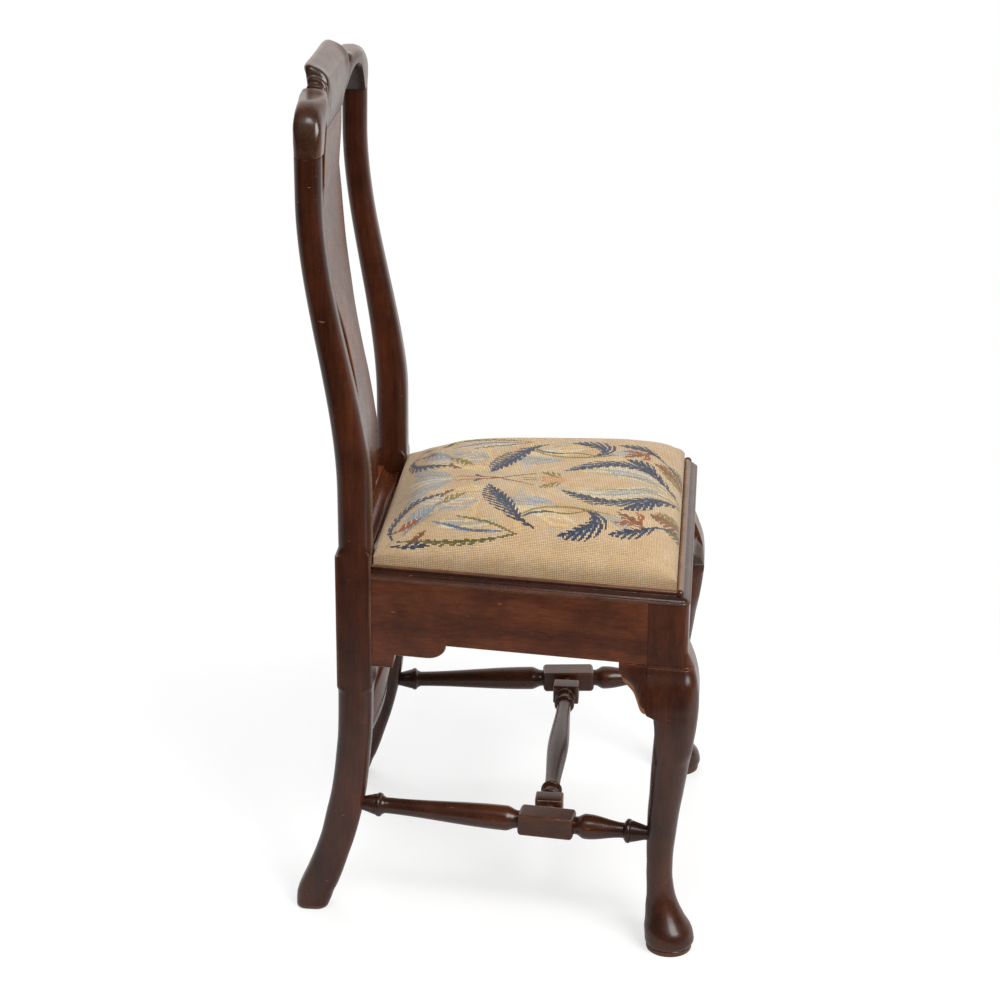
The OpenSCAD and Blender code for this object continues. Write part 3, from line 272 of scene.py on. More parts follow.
def polishedWood(name, tones, axis, roughness=0.28, coat=0.28, wear=0.0, seed=0.0, darkBelow=None):
    # old walnut, planed and waxed: fine streaky grain with open pores, a soft even gloss, paler along worn arrises
    material, add = newMaterial(name)
    here = (add("TexCoord"), "Object")
    along = add("Mapping", Vector=here, Scale=[wood["squeeze"] if axis == way else 1 for way in "XYZ"],
                Location=(seed, seed * 0.7, seed * 1.3))
    broad = add("TexNoise", Vector=along, Scale=wood["figure"], Detail=3.0, Distortion=0.6)
    fine = add("TexNoise", Vector=along, Scale=wood["grain"], Detail=4.0, Roughness=0.6)
    figure = add("Mix", **floatMix, i0=0.38, A=broad, B=fine)
    tone = add("ValToRGB", Fac=figure, stops=[(0.3, tones[0]), (0.5, tones[1]), (0.72, tones[2])])
    # mottled polish: darker where wax and dirt have gathered
    mottle = add("TexNoise", Vector=here, Scale=wood["mottle"], Detail=5.0, Roughness=0.62)
    grime = add("ValToRGB", Fac=mottle, stops=[(0.3, 0.52), (0.55, 0.95), (0.8, 1.18)])
    toned = add("Mix", **colorTimes, i0=1.0, A=tone, B=grime)
    # painted shade and other darkening, where the attribute of wear and painted light is below zero
    edge = add("Attribute", attribute_name="wear")
    hollow = add("MapRange", Value=(edge, "Fac"), i1=-1.0, i2=0.0, i3=0.35, i4=1.0)
    if darkBelow:
        # painted shade: darker below this height, where the legs stand under the seat rails
        height = add("SeparateXYZ", Vector=here)
        below = add("MapRange", Value=(height, "Z"), i1=darkBelow - 0.006, i2=darkBelow, i3=wood["lowTone"], i4=1.0)
        hollow = add("Math", **times, i0=hollow, i1=below)
    toned = add("Mix", **colorTimes, i0=1.0, A=toned, B=hollow)
    # open pores as short dark dashes with the grain, drawn coarser than the real 0.2 mm
    poreSpace = add("Mapping", Vector=here, Scale=[wood["poreSqueeze"] if axis == way else 1 for way in "XYZ"],
                    Location=(seed * 2, 0, seed))
    poreNoise = add("TexNoise", Vector=poreSpace, Scale=wood["pores"], Detail=1.0)
    pores = add("ValToRGB", Fac=poreNoise, stops=[(0.3, 0.62), (0.4, 1.0)])
    pored = add("Mix", **colorTimes, i0=0.75, A=toned, B=pores)
    # worn arrises, painted highlights where the attribute of wear and painted light says so, and a few pale nicks
    rub = add("TexNoise", Vector=here, Scale=wood["rub"], Detail=5.0)
    rubbed = add("ValToRGB", Fac=rub, stops=[(0.3, 0.3), (0.7, 1.0)])
    worn = add("Math", **highest, i0=(edge, "Fac"), i1=wear)
    wornMask = add("Math", **times, i0=worn, i1=rubbed)
    wornLess = add("Math", **times, i0=wornMask, i1=wood["rubbed"])
    paler = add("Mix", **colorMix, i0=wornLess, A=pored, B=hexColor(tones[3]))
    nickSpace = add("Mapping", Vector=here, Rotation=(0.5, 0.9, 0.3), Scale=(1, 0.25, 1))
    nickNoise = add("TexNoise", Vector=nickSpace, Scale=wood["nicks"], Detail=2.0, Roughness=0.4)
    nicks = add("ValToRGB", Fac=nickNoise, stops=[(0.75, 0.0), (0.78, 0.35)])
    nicked = add("Mix", **colorMix, i0=nicks, A=paler, B=hexColor(tones[3]))
    # a wear above 1.5 marks freshly broken wood
    broken = add("MapRange", Value=(edge, "Fac"), i1=1.3, i2=1.7)
    final = add("Mix", **colorMix, i0=broken, A=nicked, B=hexColor(wood["raw"]))
    shine = add("TexNoise", Vector=here, Scale=wood["shine"], Detail=6.0, Roughness=0.7)
    dull = add("MapRange", Value=shine, i1=0.3, i2=0.75, i3=roughness - 0.05, i4=roughness + 0.09)
    bumpSum = add("Mix", **floatMix, i0=0.5, A=fine, B=poreNoise)
    bump = add("Bump", Height=bumpSum, Strength=0.12, Distance=0.0004)
    shader = add("BsdfPrincipled", Base_Color=final, Roughness=dull, Normal=bump,
                 IOR=1.4, Coat_Weight=coat, Coat_IOR=1.45, Coat_Roughness=wood["coatRoughness"])
    add("OutputMaterial", Surface=shader)
    return material


# dark, mid, light and worn tones, the worn tone also used for painted highlights; the grain of each piece runs along
# its length
brown = ("#33150b", "#5a2d19", "#754226", "#9a6c49")
legBrown = ("#32160c", "#5a2e1b", "#774228", "#956847")
darkBrown = ("#200c05", "#3e1b0c", "#542914", "#b18561")
railWood = polishedWood("walnutLong", brown, "Y")
turnedTones = ("#260f08", "#44200f", "#5b311c", "#956847")
turnedWood = polishedWood("walnutTurned", turnedTones, "Y", seed=6.1)
turnedAcross = polishedWood("walnutTurnedAcross", turnedTones, "X", seed=6.1)
crossWood = polishedWood("walnutAcross", brown, "X", seed=3.1)
crestWood = polishedWood("walnutCrest", ("#28150c", "#482a1a", "#613c27", "#8a6142"), "X", seed=3.1, coat=0.46)
standingWood = polishedWood("walnutStanding", brown, "Z", seed=1.7)
# the legs get painted shade below the seat rails
legWood = polishedWood("walnutLeg", legBrown, "Z", seed=7.7, coat=0.2, darkBelow=0.358)
postWood = polishedWood("walnutPost", darkBrown, "Z", seed=5.3)
mouldLong = polishedWood("walnutMouldLong", darkBrown, "Y", seed=2.2, coat=0.35)
mouldAcross = polishedWood("walnutMouldAcross", darkBrown, "X", seed=4.4, coat=0.35)
# the same woods rubbed pale, for arrises that a bevel eases
for base, axis in (("walnutLong", "Y"), ("walnutAcross", "X")):
    polishedWood(base + "Worn", brown, axis, wear=1.0)


def plainBeech(name, axis):
    # beech from the saw and plane, never polished: pale, with short flecks and dust
    material, add = newMaterial(name)
    here = (add("TexCoord"), "Object")
    squeeze = {"X": (0.08, 1, 1), "Y": (1, 0.08, 1)}[axis]
    along = add("Mapping", Vector=here, Scale=squeeze)
    fleck = add("TexNoise", Vector=along, Scale=380.0, Detail=4.0, Roughness=0.6)
    broad = add("TexNoise", Vector=along, Scale=40.0, Detail=3.0)
    both = add("Mix", **floatMix, i0=0.5, A=broad, B=fleck)
    tone = add("ValToRGB", Fac=both, stops=[(0.3, "#7a5b3c"), (0.5, "#9c7a53"), (0.7, "#b4946b")])
    bump = add("Bump", Height=fleck, Strength=0.3, Distance=0.0005)
    shader = add("BsdfPrincipled", Base_Color=tone, Roughness=0.72, Normal=bump)
    add("OutputMaterial", Surface=shader)
    return material


def wovenCloth(name, dark, light, threadMm, bumpMm, roughness=0.9):
    # plain weave: warp and weft threads as two crossed waves at the real thread spacing
    material, add = newMaterial(name)
    here = (add("TexCoord"), "Object")
    scale = 1 / (threadMm * mm) / 2
    size = add("Mapping", Vector=here, Scale=(scale, scale, scale))
    split = add("SeparateXYZ", Vector=size)
    waves = []
    for axisName in ("X", "Y"):
        turn = add("Math", **times, i0=(split, axisName), i1=2 * math.pi)
        waves.append(add("Math", operation="SINE", i0=turn))
    weave = add("Math", **times, i0=waves[0], i1=waves[1])
    slub = add("TexNoise", Vector=here, Scale=300.0, Detail=4.0)
    both = add("Math", operation="MULTIPLY_ADD", i0=weave, i1=0.3, i2=slub)
    tone = add("ValToRGB", Fac=both, stops=[(0.25, dark), (0.75, light)])
    bump = add("Bump", Height=both, Strength=0.8, Distance=bumpMm * mm)
    shader = add("BsdfPrincipled", Base_Color=tone, Roughness=roughness, Normal=bump, Sheen_Weight=0.2)
    add("OutputMaterial", Surface=shader)
    return material


beechLong, beechAcross = plainBeech("beechLong", "Y"), plainBeech("beechAcross", "X")
juteMaterial = wovenCloth("juteWebbing", "#6d5836", "#b59a6c", 2.2, 0.5)
linenMaterial = wovenCloth("baseLinen", "#a08c63", "#d3c39b", 1.3, 0.3)
print("chair: materials ready")

# rear posts

post = {"w": 38, "d": 41.5, "x": 165, "front": 144, "blockBottom": 297, "blockTop": 461, "topW": 28, "topD": 30.5,
        "joint": 928, "rake": 40, "rakeFrom": 0.16, "rakeOver": 0.74, "spread": 13, "heelSweep": 54.5, "heelSpread": 7,
        "heelW": 34, "step": 3, "round": 12, "blockRound": 1.5, "stop": 9, "footEase": 3}
blockBack = post["front"] + post["d"]
heelLine = [[0, 1], [0.018, 1], [0.064, 0.987], [0.111, 0.9], [0.158, 0.783], [0.249, 0.583], [0.343, 0.416],
            [0.434, 0.303], [0.522, 0.193], [0.609, 0.119], [0.694, 0.068], [0.795, 0.02], [0.92, 0.003], [1, 0]]
heelDepth = [[0, 0.89], [0.018, 0.945], [0.064, 1.05], [0.111, 1.087], [0.158, 1.058], [0.249, 1.01], [0.343, 1],
             [0.434, 1.01], [0.522, 0.985], [0.609, 0.964], [0.694, 0.957], [0.795, 0.955], [0.92, 0.957], [1, 0.985]]
stileDepth = [[0, 0], [0.2, 0], [0.32, 0.26], [0.42, 0.53], [0.55, 0.82], [0.7, 1.05], [0.85, 1.1], [1, 1]]


def upShare(z):
    return (z - post["blockTop"]) / (post["joint"] - post["blockTop"])


def byHeight(z, stile, block, foot):
    # a measure of the post by its rule above the square block, in the block and below it
    return np.where(z >= post["blockTop"], stile, np.where(z >= post["blockBottom"], block, foot))


def postBack(z):
    return byHeight(z, blockBack - post["step"] + post["rake"] * ease((upShare(z) - post["rakeFrom"]) / post["rakeOver"]),
                    blockBack, blockBack + post["heelSweep"] * curve(z / post["blockBottom"], heelLine))


def postDepth(z):
    return byHeight(z, mix(post["d"] - post["step"], post["topD"], curve(upShare(z), stileDepth)),
                    post["d"], post["d"] * curve(z / post["blockBottom"], heelDepth))


def postMid(z):
    return byHeight(z, post["x"] + post["spread"] * np.clip(upShare(z), 0, 1),
                    post["x"], post["x"] + post["heelSpread"] * (1 - z / post["blockBottom"]))


def postWidth(z):
    return byHeight(z, mix(post["w"], post["topW"], np.clip(upShare(z), 0, 1)),
                    post["w"], mix(post["heelW"], post["w"], np.clip(z / post["blockBottom"], 0, 1)))


def rearPost():
    # rounded rectangles at each height; the corner radius grows out of the square block in arcs
    bottom, top, foot = post["blockBottom"], post["blockTop"], post["footEase"]
    z = levels(0, foot, 30, bottom - 12, bottom, bottom + 0.2, top - 0.2, top, top + 14, post["joint"], step=3.5)
    z = np.concatenate([[0, 0.4, 1, 1.8], z[z >= foot]])
    low = np.clip(1 - z / foot, 0, 1)
    shrink = foot * (1 - np.sqrt(1 - low ** 2 * 0.999))
    radius = mix(post["blockRound"], post["round"],
                 np.maximum(ease((z - top) / post["stop"]), ease((bottom - z) / post["stop"])))
    half = postWidth(z) / 2 - shrink
    flat, wear = ringGrid(postMid(z) - half, postMid(z) + half, postBack(z) - postDepth(z) + shrink,
                          postBack(z) - shrink, [radius] * 4)
    return loft(atHeight(flat, z), np.maximum(wear * 0.4, (z < 2 * foot)[:, None] * 0.35))


addPair("rearPost", [rearPost()], postWood, "rear_post", slot="walnut_dark")

# crest rail

crest = {"rise": 79, "shoulder": 57, "shoulderPower": 2.4, "arch": 41, "crownHalf": 70, "bow": 13, "thick": 16, "lip": 10,
         "splatTop": 113, "setBack": 3.5, "endZone": 13, "fineSteps": (66, 102), "ledges": (79, 84.6), "drawnIn": 0.4}
# where each starts and ends along the half crest, and over what lengths, as for between
crestZones = {"drawnIn": (50, 30, 84, 10), "setBack": (82, 14, 105, 50), "scoop": (71, 3, 88, 8)}
crestHalf = post["x"] + post["spread"] + post["topW"] / 2
shoulderX, archTo = crestHalf - 1.5 * post["topW"], crestHalf - post["topW"]
# the raised middle ends in a small scooped face with two ledges, then a low swell on the shoulder
crownFall = [[0, 1], [0.9, 1], [1.0, 0.985], [1.057, 0.9], [1.093, 0.7], [1.114, 0.5], [1.129, 0.44], [1.164, 0.41],
             [1.179, 0.35], [1.193, 0.16], [1.207, 0.13], [1.243, 0.1], [1.257, 0.05], [1.271, -0.1], [1.3, -0.16],
             [1.343, -0.08], [1.386, 0.03], [1.43, 0.07], [1.52, 0.03], [1.65, 0], [2, 0]]
archShares = [[0, 0.07], [0.02, 0.09], [0.15, 0.4], [0.3, 0.67], [0.45, 0.92], [0.58, 1], [0.72, 0.92], [0.86, 0.56],
              [0.96, 0.14], [1, 0]]
# rows of [share of the height, share of the roll's depth, 0 on the front or 1 on the back]
crownSlice = [[0, 0, 0], [0.2, -0.45, 0], [0.375, -0.74, 0], [0.574, -0.9, 0], [0.7, -0.78, 0], [0.774, -0.58, 0],
              [0.85, -0.05, 0], [0.93, 0.9, 0], [1, 2.5, 0], [1, 0.62, 1], [0.985, 1.0, 1], [0.947, 1.28, 1],
              [0.867, 1.12, 1], [0.707, 0.3, 1], [0.55, 0.08, 1], [0.35, 0, 1], [0.15, -0.2, 1], [0, -0.4, 1]]
earSlice = [[0, 0, 0], [0.2, -0.05, 0], [0.375, -0.1, 0], [0.574, -0.1, 0], [0.7, -0.06, 0], [0.774, 0, 0],
            [0.85, 0.15, 0], [0.94, 0.5, 0], [1, 1.3, 0], [1, -0.8, 1], [0.985, -0.45, 1], [0.955, -0.22, 1],
            [0.9, -0.06, 1], [0.76, 0.02, 1], [0.55, 0.03, 1], [0.35, 0.03, 1], [0.15, 0, 1], [0, 0, 1]]


def smoothAlong(points, steps):
    # Catmull-Rom curve through the points of each row, steps pieces to each span
    p = np.concatenate([2 * points[:, :1] - points[:, 1:2], points, 2 * points[:, -1:] - points[:, -2:-1]], 1)
    t = np.linspace(0, 1, steps, endpoint=False)[None, None, :, None]
    a, b, c, d = (p[:, k:p.shape[1] - 3 + k, None] for k in range(4))
    out = 0.5 * (2 * b + (c - a) * t + (2 * a - 5 * b + 4 * c - d) * t ** 2 + (3 * b - a - 3 * c + d) * t ** 3)
    return np.concatenate([out.reshape(len(points), -1, points.shape[-1]), points[:, -1:]], 1)


def crestRail():
    # upright slices from end to end; each is its front, rolled top and back, mixed from the crown's and the ear's
    fineFrom, fineTo = crest["fineSteps"]
    endFrom = crestHalf - crest["endZone"]
    place = np.concatenate([np.linspace(0, fineFrom, 34), np.linspace(fineFrom, fineTo, 73)[1:],
                            np.linspace(fineTo, endFrom, 42)[1:],
                            crestHalf - crest["endZone"] * (1 - np.linspace(0, 1, 18)[1:]) ** 1.8 - 0.05])
    x = np.concatenate([-place[:0:-1], place])
    a = np.abs(x)
    archFrom = crest["splatTop"] / 2
    arch = crest["arch"] * curve((a - archFrom) / (archTo - archFrom), archShares)
    low = post["joint"] + np.where(a <= archFrom, 3, np.where(a >= archTo, 0, arch))
    t = np.clip((a - shoulderX) / (crestHalf - shoulderX), 0, 1)
    top = (post["joint"] + crest["shoulder"] * (1 - t ** crest["shoulderPower"]) ** (1 / crest["shoulderPower"])
           + (crest["rise"] - crest["shoulder"]) * curve(a / crest["crownHalf"], crownFall))
    top = np.maximum(top, low + 1.5)
    bow = ease((a / crest["crownHalf"] - 0.7) / 1.4)
    # the ends are rounded in plan like the posts
    r = post["round"]
    endRound = r * (1 - np.sqrt(1 - np.clip((a - crestHalf + r) / r, 0, 1) ** 2))
    postFront = postBack(post["joint"]) - post["topD"]
    front = postFront + crest["bow"] * (1 - bow) + endRound
    back = mix(postFront + crest["bow"] + crest["thick"] - 0.3, postBack(post["joint"]), ease(a / archTo)) - endRound
    k = (1 - ease((a / crest["crownHalf"] - 0.95) / 0.3))[:, None]
    c, e = np.array(crownSlice), np.array(earSlice)
    u, v = mix(e[:, 0], c[:, 0], k), mix(e[:, 1], c[:, 1], k)
    roll = np.minimum(crest["lip"], (back - front) * 0.38)[:, None]
    # the crown's back lip draws in towards its ends, and the shoulder beside it stands back as far
    onBack = c[:, 2] == 1
    v = np.where(onBack, v * (1 - crest["drawnIn"] * between(a, *crestZones["drawnIn"]))[:, None], v)
    back = back + crest["setBack"] * between(a, *crestZones["setBack"])
    y = np.where(onBack, back[:, None], front[:, None]) + roll * v
    z = mix(low[:, None] + 0.8, top[:, None], u)
    slices = smoothAlong(xyz(x[:, None], y, z), 4)
    first, last = slices[:, :1] + [0, 1, -0.8], slices[:, -1:] + [0, -1, -0.8]
    rings = np.concatenate([first, slices, last], 1)[:, ::-1]
    # painted shade in the scooped ends of the crown and under the arch by the ears, painted highlights on the small
    # ledges, and the two slices at each end a little darker
    scoop = -0.85 * between(a, *crestZones["scoop"])
    ledge = np.exp(-((a - crest["ledges"][0]) / 1.2) ** 2) + np.exp(-((a - crest["ledges"][1]) / 1.4) ** 2)
    wear = np.repeat((scoop * (1 - ledge) + 0.2 * ledge)[:, None], rings.shape[1], 1)
    wear[:, [0, -1, 1, -2]] = -0.9 * ease((a - 100) / 25)[:, None]
    wear[:2] = wear[-2:] = -0.2
    return loft(rings, wear)


addPiece("crestRail", [crestRail()], crestWood, ["crest_rail"], sharp=40)

# splat and shoe

splat = {"w": 152, "thick": 12, "base": 449, "top": 931, "edge": 1.3, "bow": 8.4, "behind": (0.5, 5.5)}
vase = [[0, 1], [0.11, 1.01], [0.17, 0.96], [0.24, 0.75], [0.33, 0.605], [0.4, 0.546], [0.455, 0.553], [0.51, 0.605],
        [0.58, 0.79], [0.65, 0.935], [0.725, 1], [0.78, 0.985], [0.81, 0.92], [0.84, 0.825], [0.861, 0.75],
        [0.885, 0.765], [0.946, 0.81], [1, 0.745]]
# how far the board bends back behind the line of the posts
splatBow = [[0, 0], [0.17, 0], [0.33, 0.24], [0.43, 0.52], [0.51, 0.7], [0.65, 1], [0.78, 0.76], [0.87, 0.44], [1, 0]]


def splatShare(z):
    return (z - splat["base"]) / (splat["top"] - splat["base"])


def splatFront(z):
    bend = splat["bow"] * curve(np.clip(splatShare(z), 0, 1), splatBow)
    return postBack(z) - splat["thick"] - mix(*splat["behind"], ease(upShare(z))) + bend


def splatBoard():
    # the vase outline carried up the curve of the posts, with small eased arrises
    z = levels(splat["base"], splat["top"], step=2.6)
    half = curve(splatShare(z), vase) * splat["w"] / 2
    flat, wear = ringGrid(-half, half, splatFront(z), splatFront(z) + splat["thick"], [splat["edge"]] * 4, arcSteps=4,
                          sideShares=(0.02, 0.15, 0.3, 0.5, 0.7, 0.85, 0.98))
    # painted shade on the sawn side edges
    wear = wear * 0.7
    wear[:, 17:24] = wear[:, 41:48] = -0.75
    return loft(atHeight(flat, z), wear)


addPiece("splatBoard", [splatBoard()], standingWood, ["splat"])

shoe = {"toe": 152, "bead": 3.2, "h": 15, "back": 182.5, "half": 145.85, "foot": 434}


def splatShoe():
    # from toe to back: a round bead, a hollow rising to the splat and a flat top, carried along the rear rail
    toe, bead, back, low, high = shoe["toe"], shoe["bead"], shoe["back"], shoe["foot"], shoe["foot"] + shoe["h"]
    arris = float(splatFront(splat["base"])) - 0.5
    turn, quarter = np.linspace(0, math.pi, 17), np.linspace(0, math.pi / 2, 17)[1:-1]
    profile = rowsOf((toe, low), (toe + bead * (1 - np.cos(turn)), low + bead * (1 + np.sin(turn))),
                     (toe + bead * 2 + (arris - toe - bead * 2) * np.sin(quarter),
                      low + bead + (shoe["h"] - bead) * (1 - np.cos(quarter))),
                     (arris, high - 0.6), (arris + 0.6, high), (back - 1, high), (back, high - 1), (back, low))
    return loft(xyz([[-shoe["half"]], [shoe["half"]]], profile[:, 0], profile[:, 1]))


addPiece("splatShoe", [splatShoe()], crossWood, ["splat_shoe"])

# rails

seat = {"frontY": -222, "rearY": 144, "frontW": 450, "rearW": 364, "top": 434, "bottom": 358, "railT": 28, "stile": 46,
        "glue": 0.15}
sideSlope = (seat["frontW"] - seat["rearW"]) / 2 / (seat["rearY"] - seat["frontY"])
slant = math.sqrt(1 + sideSlope ** 2)
rearBracket = {"long": 87.5, "roundLong": 23.5, "roundDeep": 17.5, "toe": (27, 340.5), "heel": (24, 324)}


def railX(y, inset=0):
    # half the seat's width at this depth, inside the rail's outer face by the inset
    return seat["frontW"] / 2 - sideSlope * (y - seat["frontY"]) - inset * slant


def sideRail():
    # side view of the board with its rear bracket, carried square through the board's thickness
    y0, y1 = seat["frontY"] + seat["stile"] + seat["glue"], seat["rearY"] - seat["glue"]
    # the rear bracket's cut end is a quarter round that bulges towards the front
    t = np.linspace(0, math.pi / 2, 22)
    (toe, toeZ), (heel, heelZ) = rearBracket["toe"], rearBracket["heel"]
    y, z = rowsOf((y0, seat["top"]), (y0, seat["bottom"]),
                  (y1 - rearBracket["long"] + rearBracket["roundLong"] * (1 - np.cos(t)),
                   seat["bottom"] - rearBracket["roundDeep"] * np.sin(t)),
                  (y1 - toe, toeZ), (y1 - heel, heelZ), (y1, heelZ), (y1, seat["top"])).T
    return loft(np.stack([xyz(railX(y, inset), y, z) for inset in (seat["railT"], 0)]))


def railArrises(ends):
    # only the long arrises are eased, not the ends that meet the leg and the post, nor the steps of the sawn curve
    outline = len(ends) // 3
    a, b = ends[:, 0] % outline, ends[:, 1] % outline
    sameFace = ends[:, 0] // outline == ends[:, 1] // outline
    return sameFace & ~((a <= 1) & (b <= 1)) & ~((a >= outline - 2) & (b >= outline - 2))


addPair("sideRail", [sideRail()], railWood, "side_rail", bevel=0.9, segments=3, weigh=railArrises)
copyNode("frontRail", "front_rail", crossWood, 1.0)
copyNode("rearRail", "rear_rail", crossWood, 1.0)

# front legs

leg = {"knee": 14.5, "splay": 14.4, "foot": 58.8, "ankle": 30.5, "kneeRound": 18, "sideRound": 9, "stileRound": 8,
       "padEase": 0.8, "runOut": 9, "frontStile": 48, "ledge": 1.8, "ledgeSwell": 20, "rubbedBelow": 8}
kneeTable = [[0, 1.05], [0.0134, 1.07], [0.0152, 1.02], [0.025, 1.24], [0.055, 1.06], [0.085, 0.46], [0.115, -0.05],
             [0.145, -0.39], [0.177, -0.58], [0.21, -0.68], [0.24, -0.68], [0.267, -0.655], [0.327, -0.48],
             [0.387, -0.283], [0.447, -0.014], [0.477, 0.117], [0.537, 0.372], [0.597, 0.634], [0.657, 0.88],
             [0.687, 0.959], [0.717, 1], [0.744, 0.979], [0.783, 0.85], [0.806, 0.69], [0.825, 0.517], [0.846, 0.276],
             [0.871, 0], [1, 0]]
depthTable = [[0, 0.81], [0.0134, 0.83], [0.0152, 0.79], [0.025, 0.97], [0.055, 0.91], [0.085, 0.58], [0.115, 0.32],
              [0.145, 0.115], [0.177, 0.03], [0.21, 0], [0.24, 0], [0.267, 0.03], [0.327, 0.124], [0.387, 0.22],
              [0.447, 0.304], [0.507, 0.408], [0.567, 0.49], [0.627, 0.567], [0.657, 0.64], [0.687, 0.72], [1, 0.72]]
kneeBracket = {"sideDrop": 53, "frontDrop": 42, "long": 32, "thick": 26, "broken": 7}
bracketTip = seat["bottom"] - kneeBracket["sideDrop"]
stileFoot = bracketTip - leg["runOut"]
stileInner = seat["frontW"] / 2 - seat["stile"]
stileBack = seat["frontY"] + seat["stile"]
stretcherZ = 139


def kneeLine(z):
    return leg["knee"] * curve(z / seat["top"], kneeTable)


def legDepth(z):
    return leg["ankle"] + (leg["foot"] - leg["ankle"]) * curve(z / seat["top"], depthTable)


def legSplay(z):
    return leg["splay"] * np.clip((bracketTip - z) / (bracketTip - stretcherZ + leg["ankle"]), 0, 1)


def sideKnee(z):
    # on the sides the knee starts under the rail with a small ledge and swells out from there
    under = seat["bottom"] - z
    return kneeLine(z) * (ease(under / leg["ledge"]) + ease(under / leg["ledgeSwell"])) / 2


def slantShare(z):
    # the slant of the side rail fades out of the side face on the way down to the shank
    return ease((z - stileFoot) / (seat["bottom"] - stileFoot))


def frontLeg():
    # square stile, swelling knee, tapering shank, round ankle and pad foot on a thin disc
    z = levels(0, 5.8, 6.6, 24, 120, 270, 282, 291, 312, 350, 355.6, step=3.2)
    z = np.concatenate([z, np.linspace(355.6, 358, 7)[1:], levels(358, 380, 434, step=4)[1:]])
    z = np.concatenate([[0, 0.5], z[z >= 1.5]])
    out, depth = kneeLine(z), legDepth(z)
    stile = ease((z - stileFoot) / leg["runOut"])
    y0 = seat["frontY"] - out
    y1 = mix(np.minimum(y0 + depth, stileBack), stileBack, stile)
    x1 = seat["frontW"] / 2 + sideKnee(z) + legSplay(z)
    # beside the shorter front bracket the stile ends higher up
    x0 = mix(x1 - depth, stileInner, ease((z - seat["bottom"] + leg["frontStile"]) / leg["runOut"]))
    rounding = ease((bracketTip - z) / (bracketTip - stretcherZ)) * leg["foot"]
    kneeShare = ease(out / leg["knee"]) * ease((z - stretcherZ) / leg["ankle"])
    outer = np.maximum(mix(leg["stileRound"], leg["kneeRound"], kneeShare), rounding)
    side = np.maximum(mix(0.5, leg["sideRound"], 1 - stile), rounding)
    shrink = leg["padEase"] * np.clip(1 - z / leg["padEase"], 0, 1)
    flat, _ = ringGrid(x0 + shrink, x1 - shrink, y0 + shrink, y1 - shrink, [side, side, side, outer], arcSteps=10)
    x, y = flat[..., 0], flat[..., 1]
    x = x - sideSlope * (y - seat["frontY"]) * slantShare(z)[:, None] * np.clip((x - stileInner) / seat["stile"], 0, 1)
    return loft(xyz(x, y, z[:, None]), (z < leg["rubbedBelow"])[:, None] * 0.3)


addPair("frontLeg", [frontLeg()], legWood, "front_leg", sharp=50)

# knee brackets

bracketLine = [[0, 1], [0.1, 0.98], [0.19, 0.93], [0.31, 0.76], [0.45, 0.59], [0.62, 0.51], [0.79, 0.44], [0.9, 0.31],
               [1, 0.17]]


def bracket(side, broken=0):
    # the knee's swelling fading along the rail above a cut profile; front surface, then the square back
    s = np.linspace(0, 1, 60)
    along = seat["glue"] + s * kneeBracket["long"]
    fall = np.concatenate([[0, 0.008, 0.018, 0.03, 0.045], np.linspace(0.07, 0.97, 16), [0.985, 1]])
    low = kneeBracket["sideDrop" if side else "frontDrop"] * curve(s, bracketLine)[:, None]
    z = seat["bottom"] - seat["glue"] - low * fall
    outward = sideKnee(z) * (1 - ease(s))[:, None]
    outward[:, -1] -= 0.8
    outward = np.concatenate([outward, np.full((len(s), 2), -float(kneeBracket["thick"]))], 1)
    z = np.concatenate([z, z[:, -1:], z[:, :1]], 1)
    if side:
        outward[:, :-2] += (sideSlope * seat["stile"] * (1 - slantShare(z)) * (1 - ease(s))[:, None])[:, :-2]
        y = (stileBack + along)[:, None]
        rings = xyz(railX(y) + outward, y, z)
    else:
        rings = xyz((stileInner - along)[:, None], seat["frontY"] - outward, z)
    wear = np.zeros(z.shape)
    wear[:, :-2] = np.clip(fall * 8 - 7, 0, 1)
    wear[:, -2] = 1
    wear *= 1 if side else -0.6
    # the broken strip is widest low down by the leg and runs out at the tip of the curve
    strip = broken * ease(s / 0.08) * ease((0.96 - s) / 0.3)
    wear[:, :-2] = np.where(low * (1 - fall) < strip[:, None], 2, wear[:, :-2])
    wear[:, -2] = np.where(strip > 0.5, 2, wear[:, -2])
    return loft(rings, wear)


addPair("kneeBracketSide", [bracket(True)], legWood, "knee_bracket_side", [bracket(True, kneeBracket["broken"])])
addPair("kneeBracketFront", [bracket(False)], legWood, "knee_bracket_front")
print("chair: posts, crest, splat, rails and legs ready")

# turned stretchers

lathe = {"swell": 14.8, "medialSwell": 13, "rearSwell": 15, "slim": 10.5, "ringHalf": 2.9, "ring": 14.0, "neck": 9.0,
         "tenon": 8.5, "blockAt": 0.6415, "block": (66.4, 29.3, 26.6, 4.5), "rearZ": 190,
         "tenonRear": 13, "tenonFront": 8, "tenonMedial": 9, "tenonCross": 15}
medialEnd = {"from": 0.779, "to": 0.9176, "wide": 33, "tall": 25, "round": 4, "ring": (9.4, 12.8), "tenon": 8.2}


def turned(outline, around=72):
    # an outline of (place, radius) turned about the z axis
    place, radius = outline.T[:, :, None]
    angle = np.linspace(0, 2 * math.pi, around, endpoint=False)
    return xyz(radius * np.cos(angle), radius * np.sin(angle), place)


def bead(at, low, high):
    t = np.linspace(0, math.pi, 15)
    return at - lathe["ringHalf"] * np.cos(t), low + (high - low) * np.sin(t)


def swell(start, end, first, last):
    t = np.linspace(0, 1, 22)
    return mix(start, end, t), mix(first, last, ease(t))


def bothWays(half):
    # an outline from the middle outward, repeated towards the other end
    return np.concatenate([half[::-1] * [-1, 1], half[1:]])


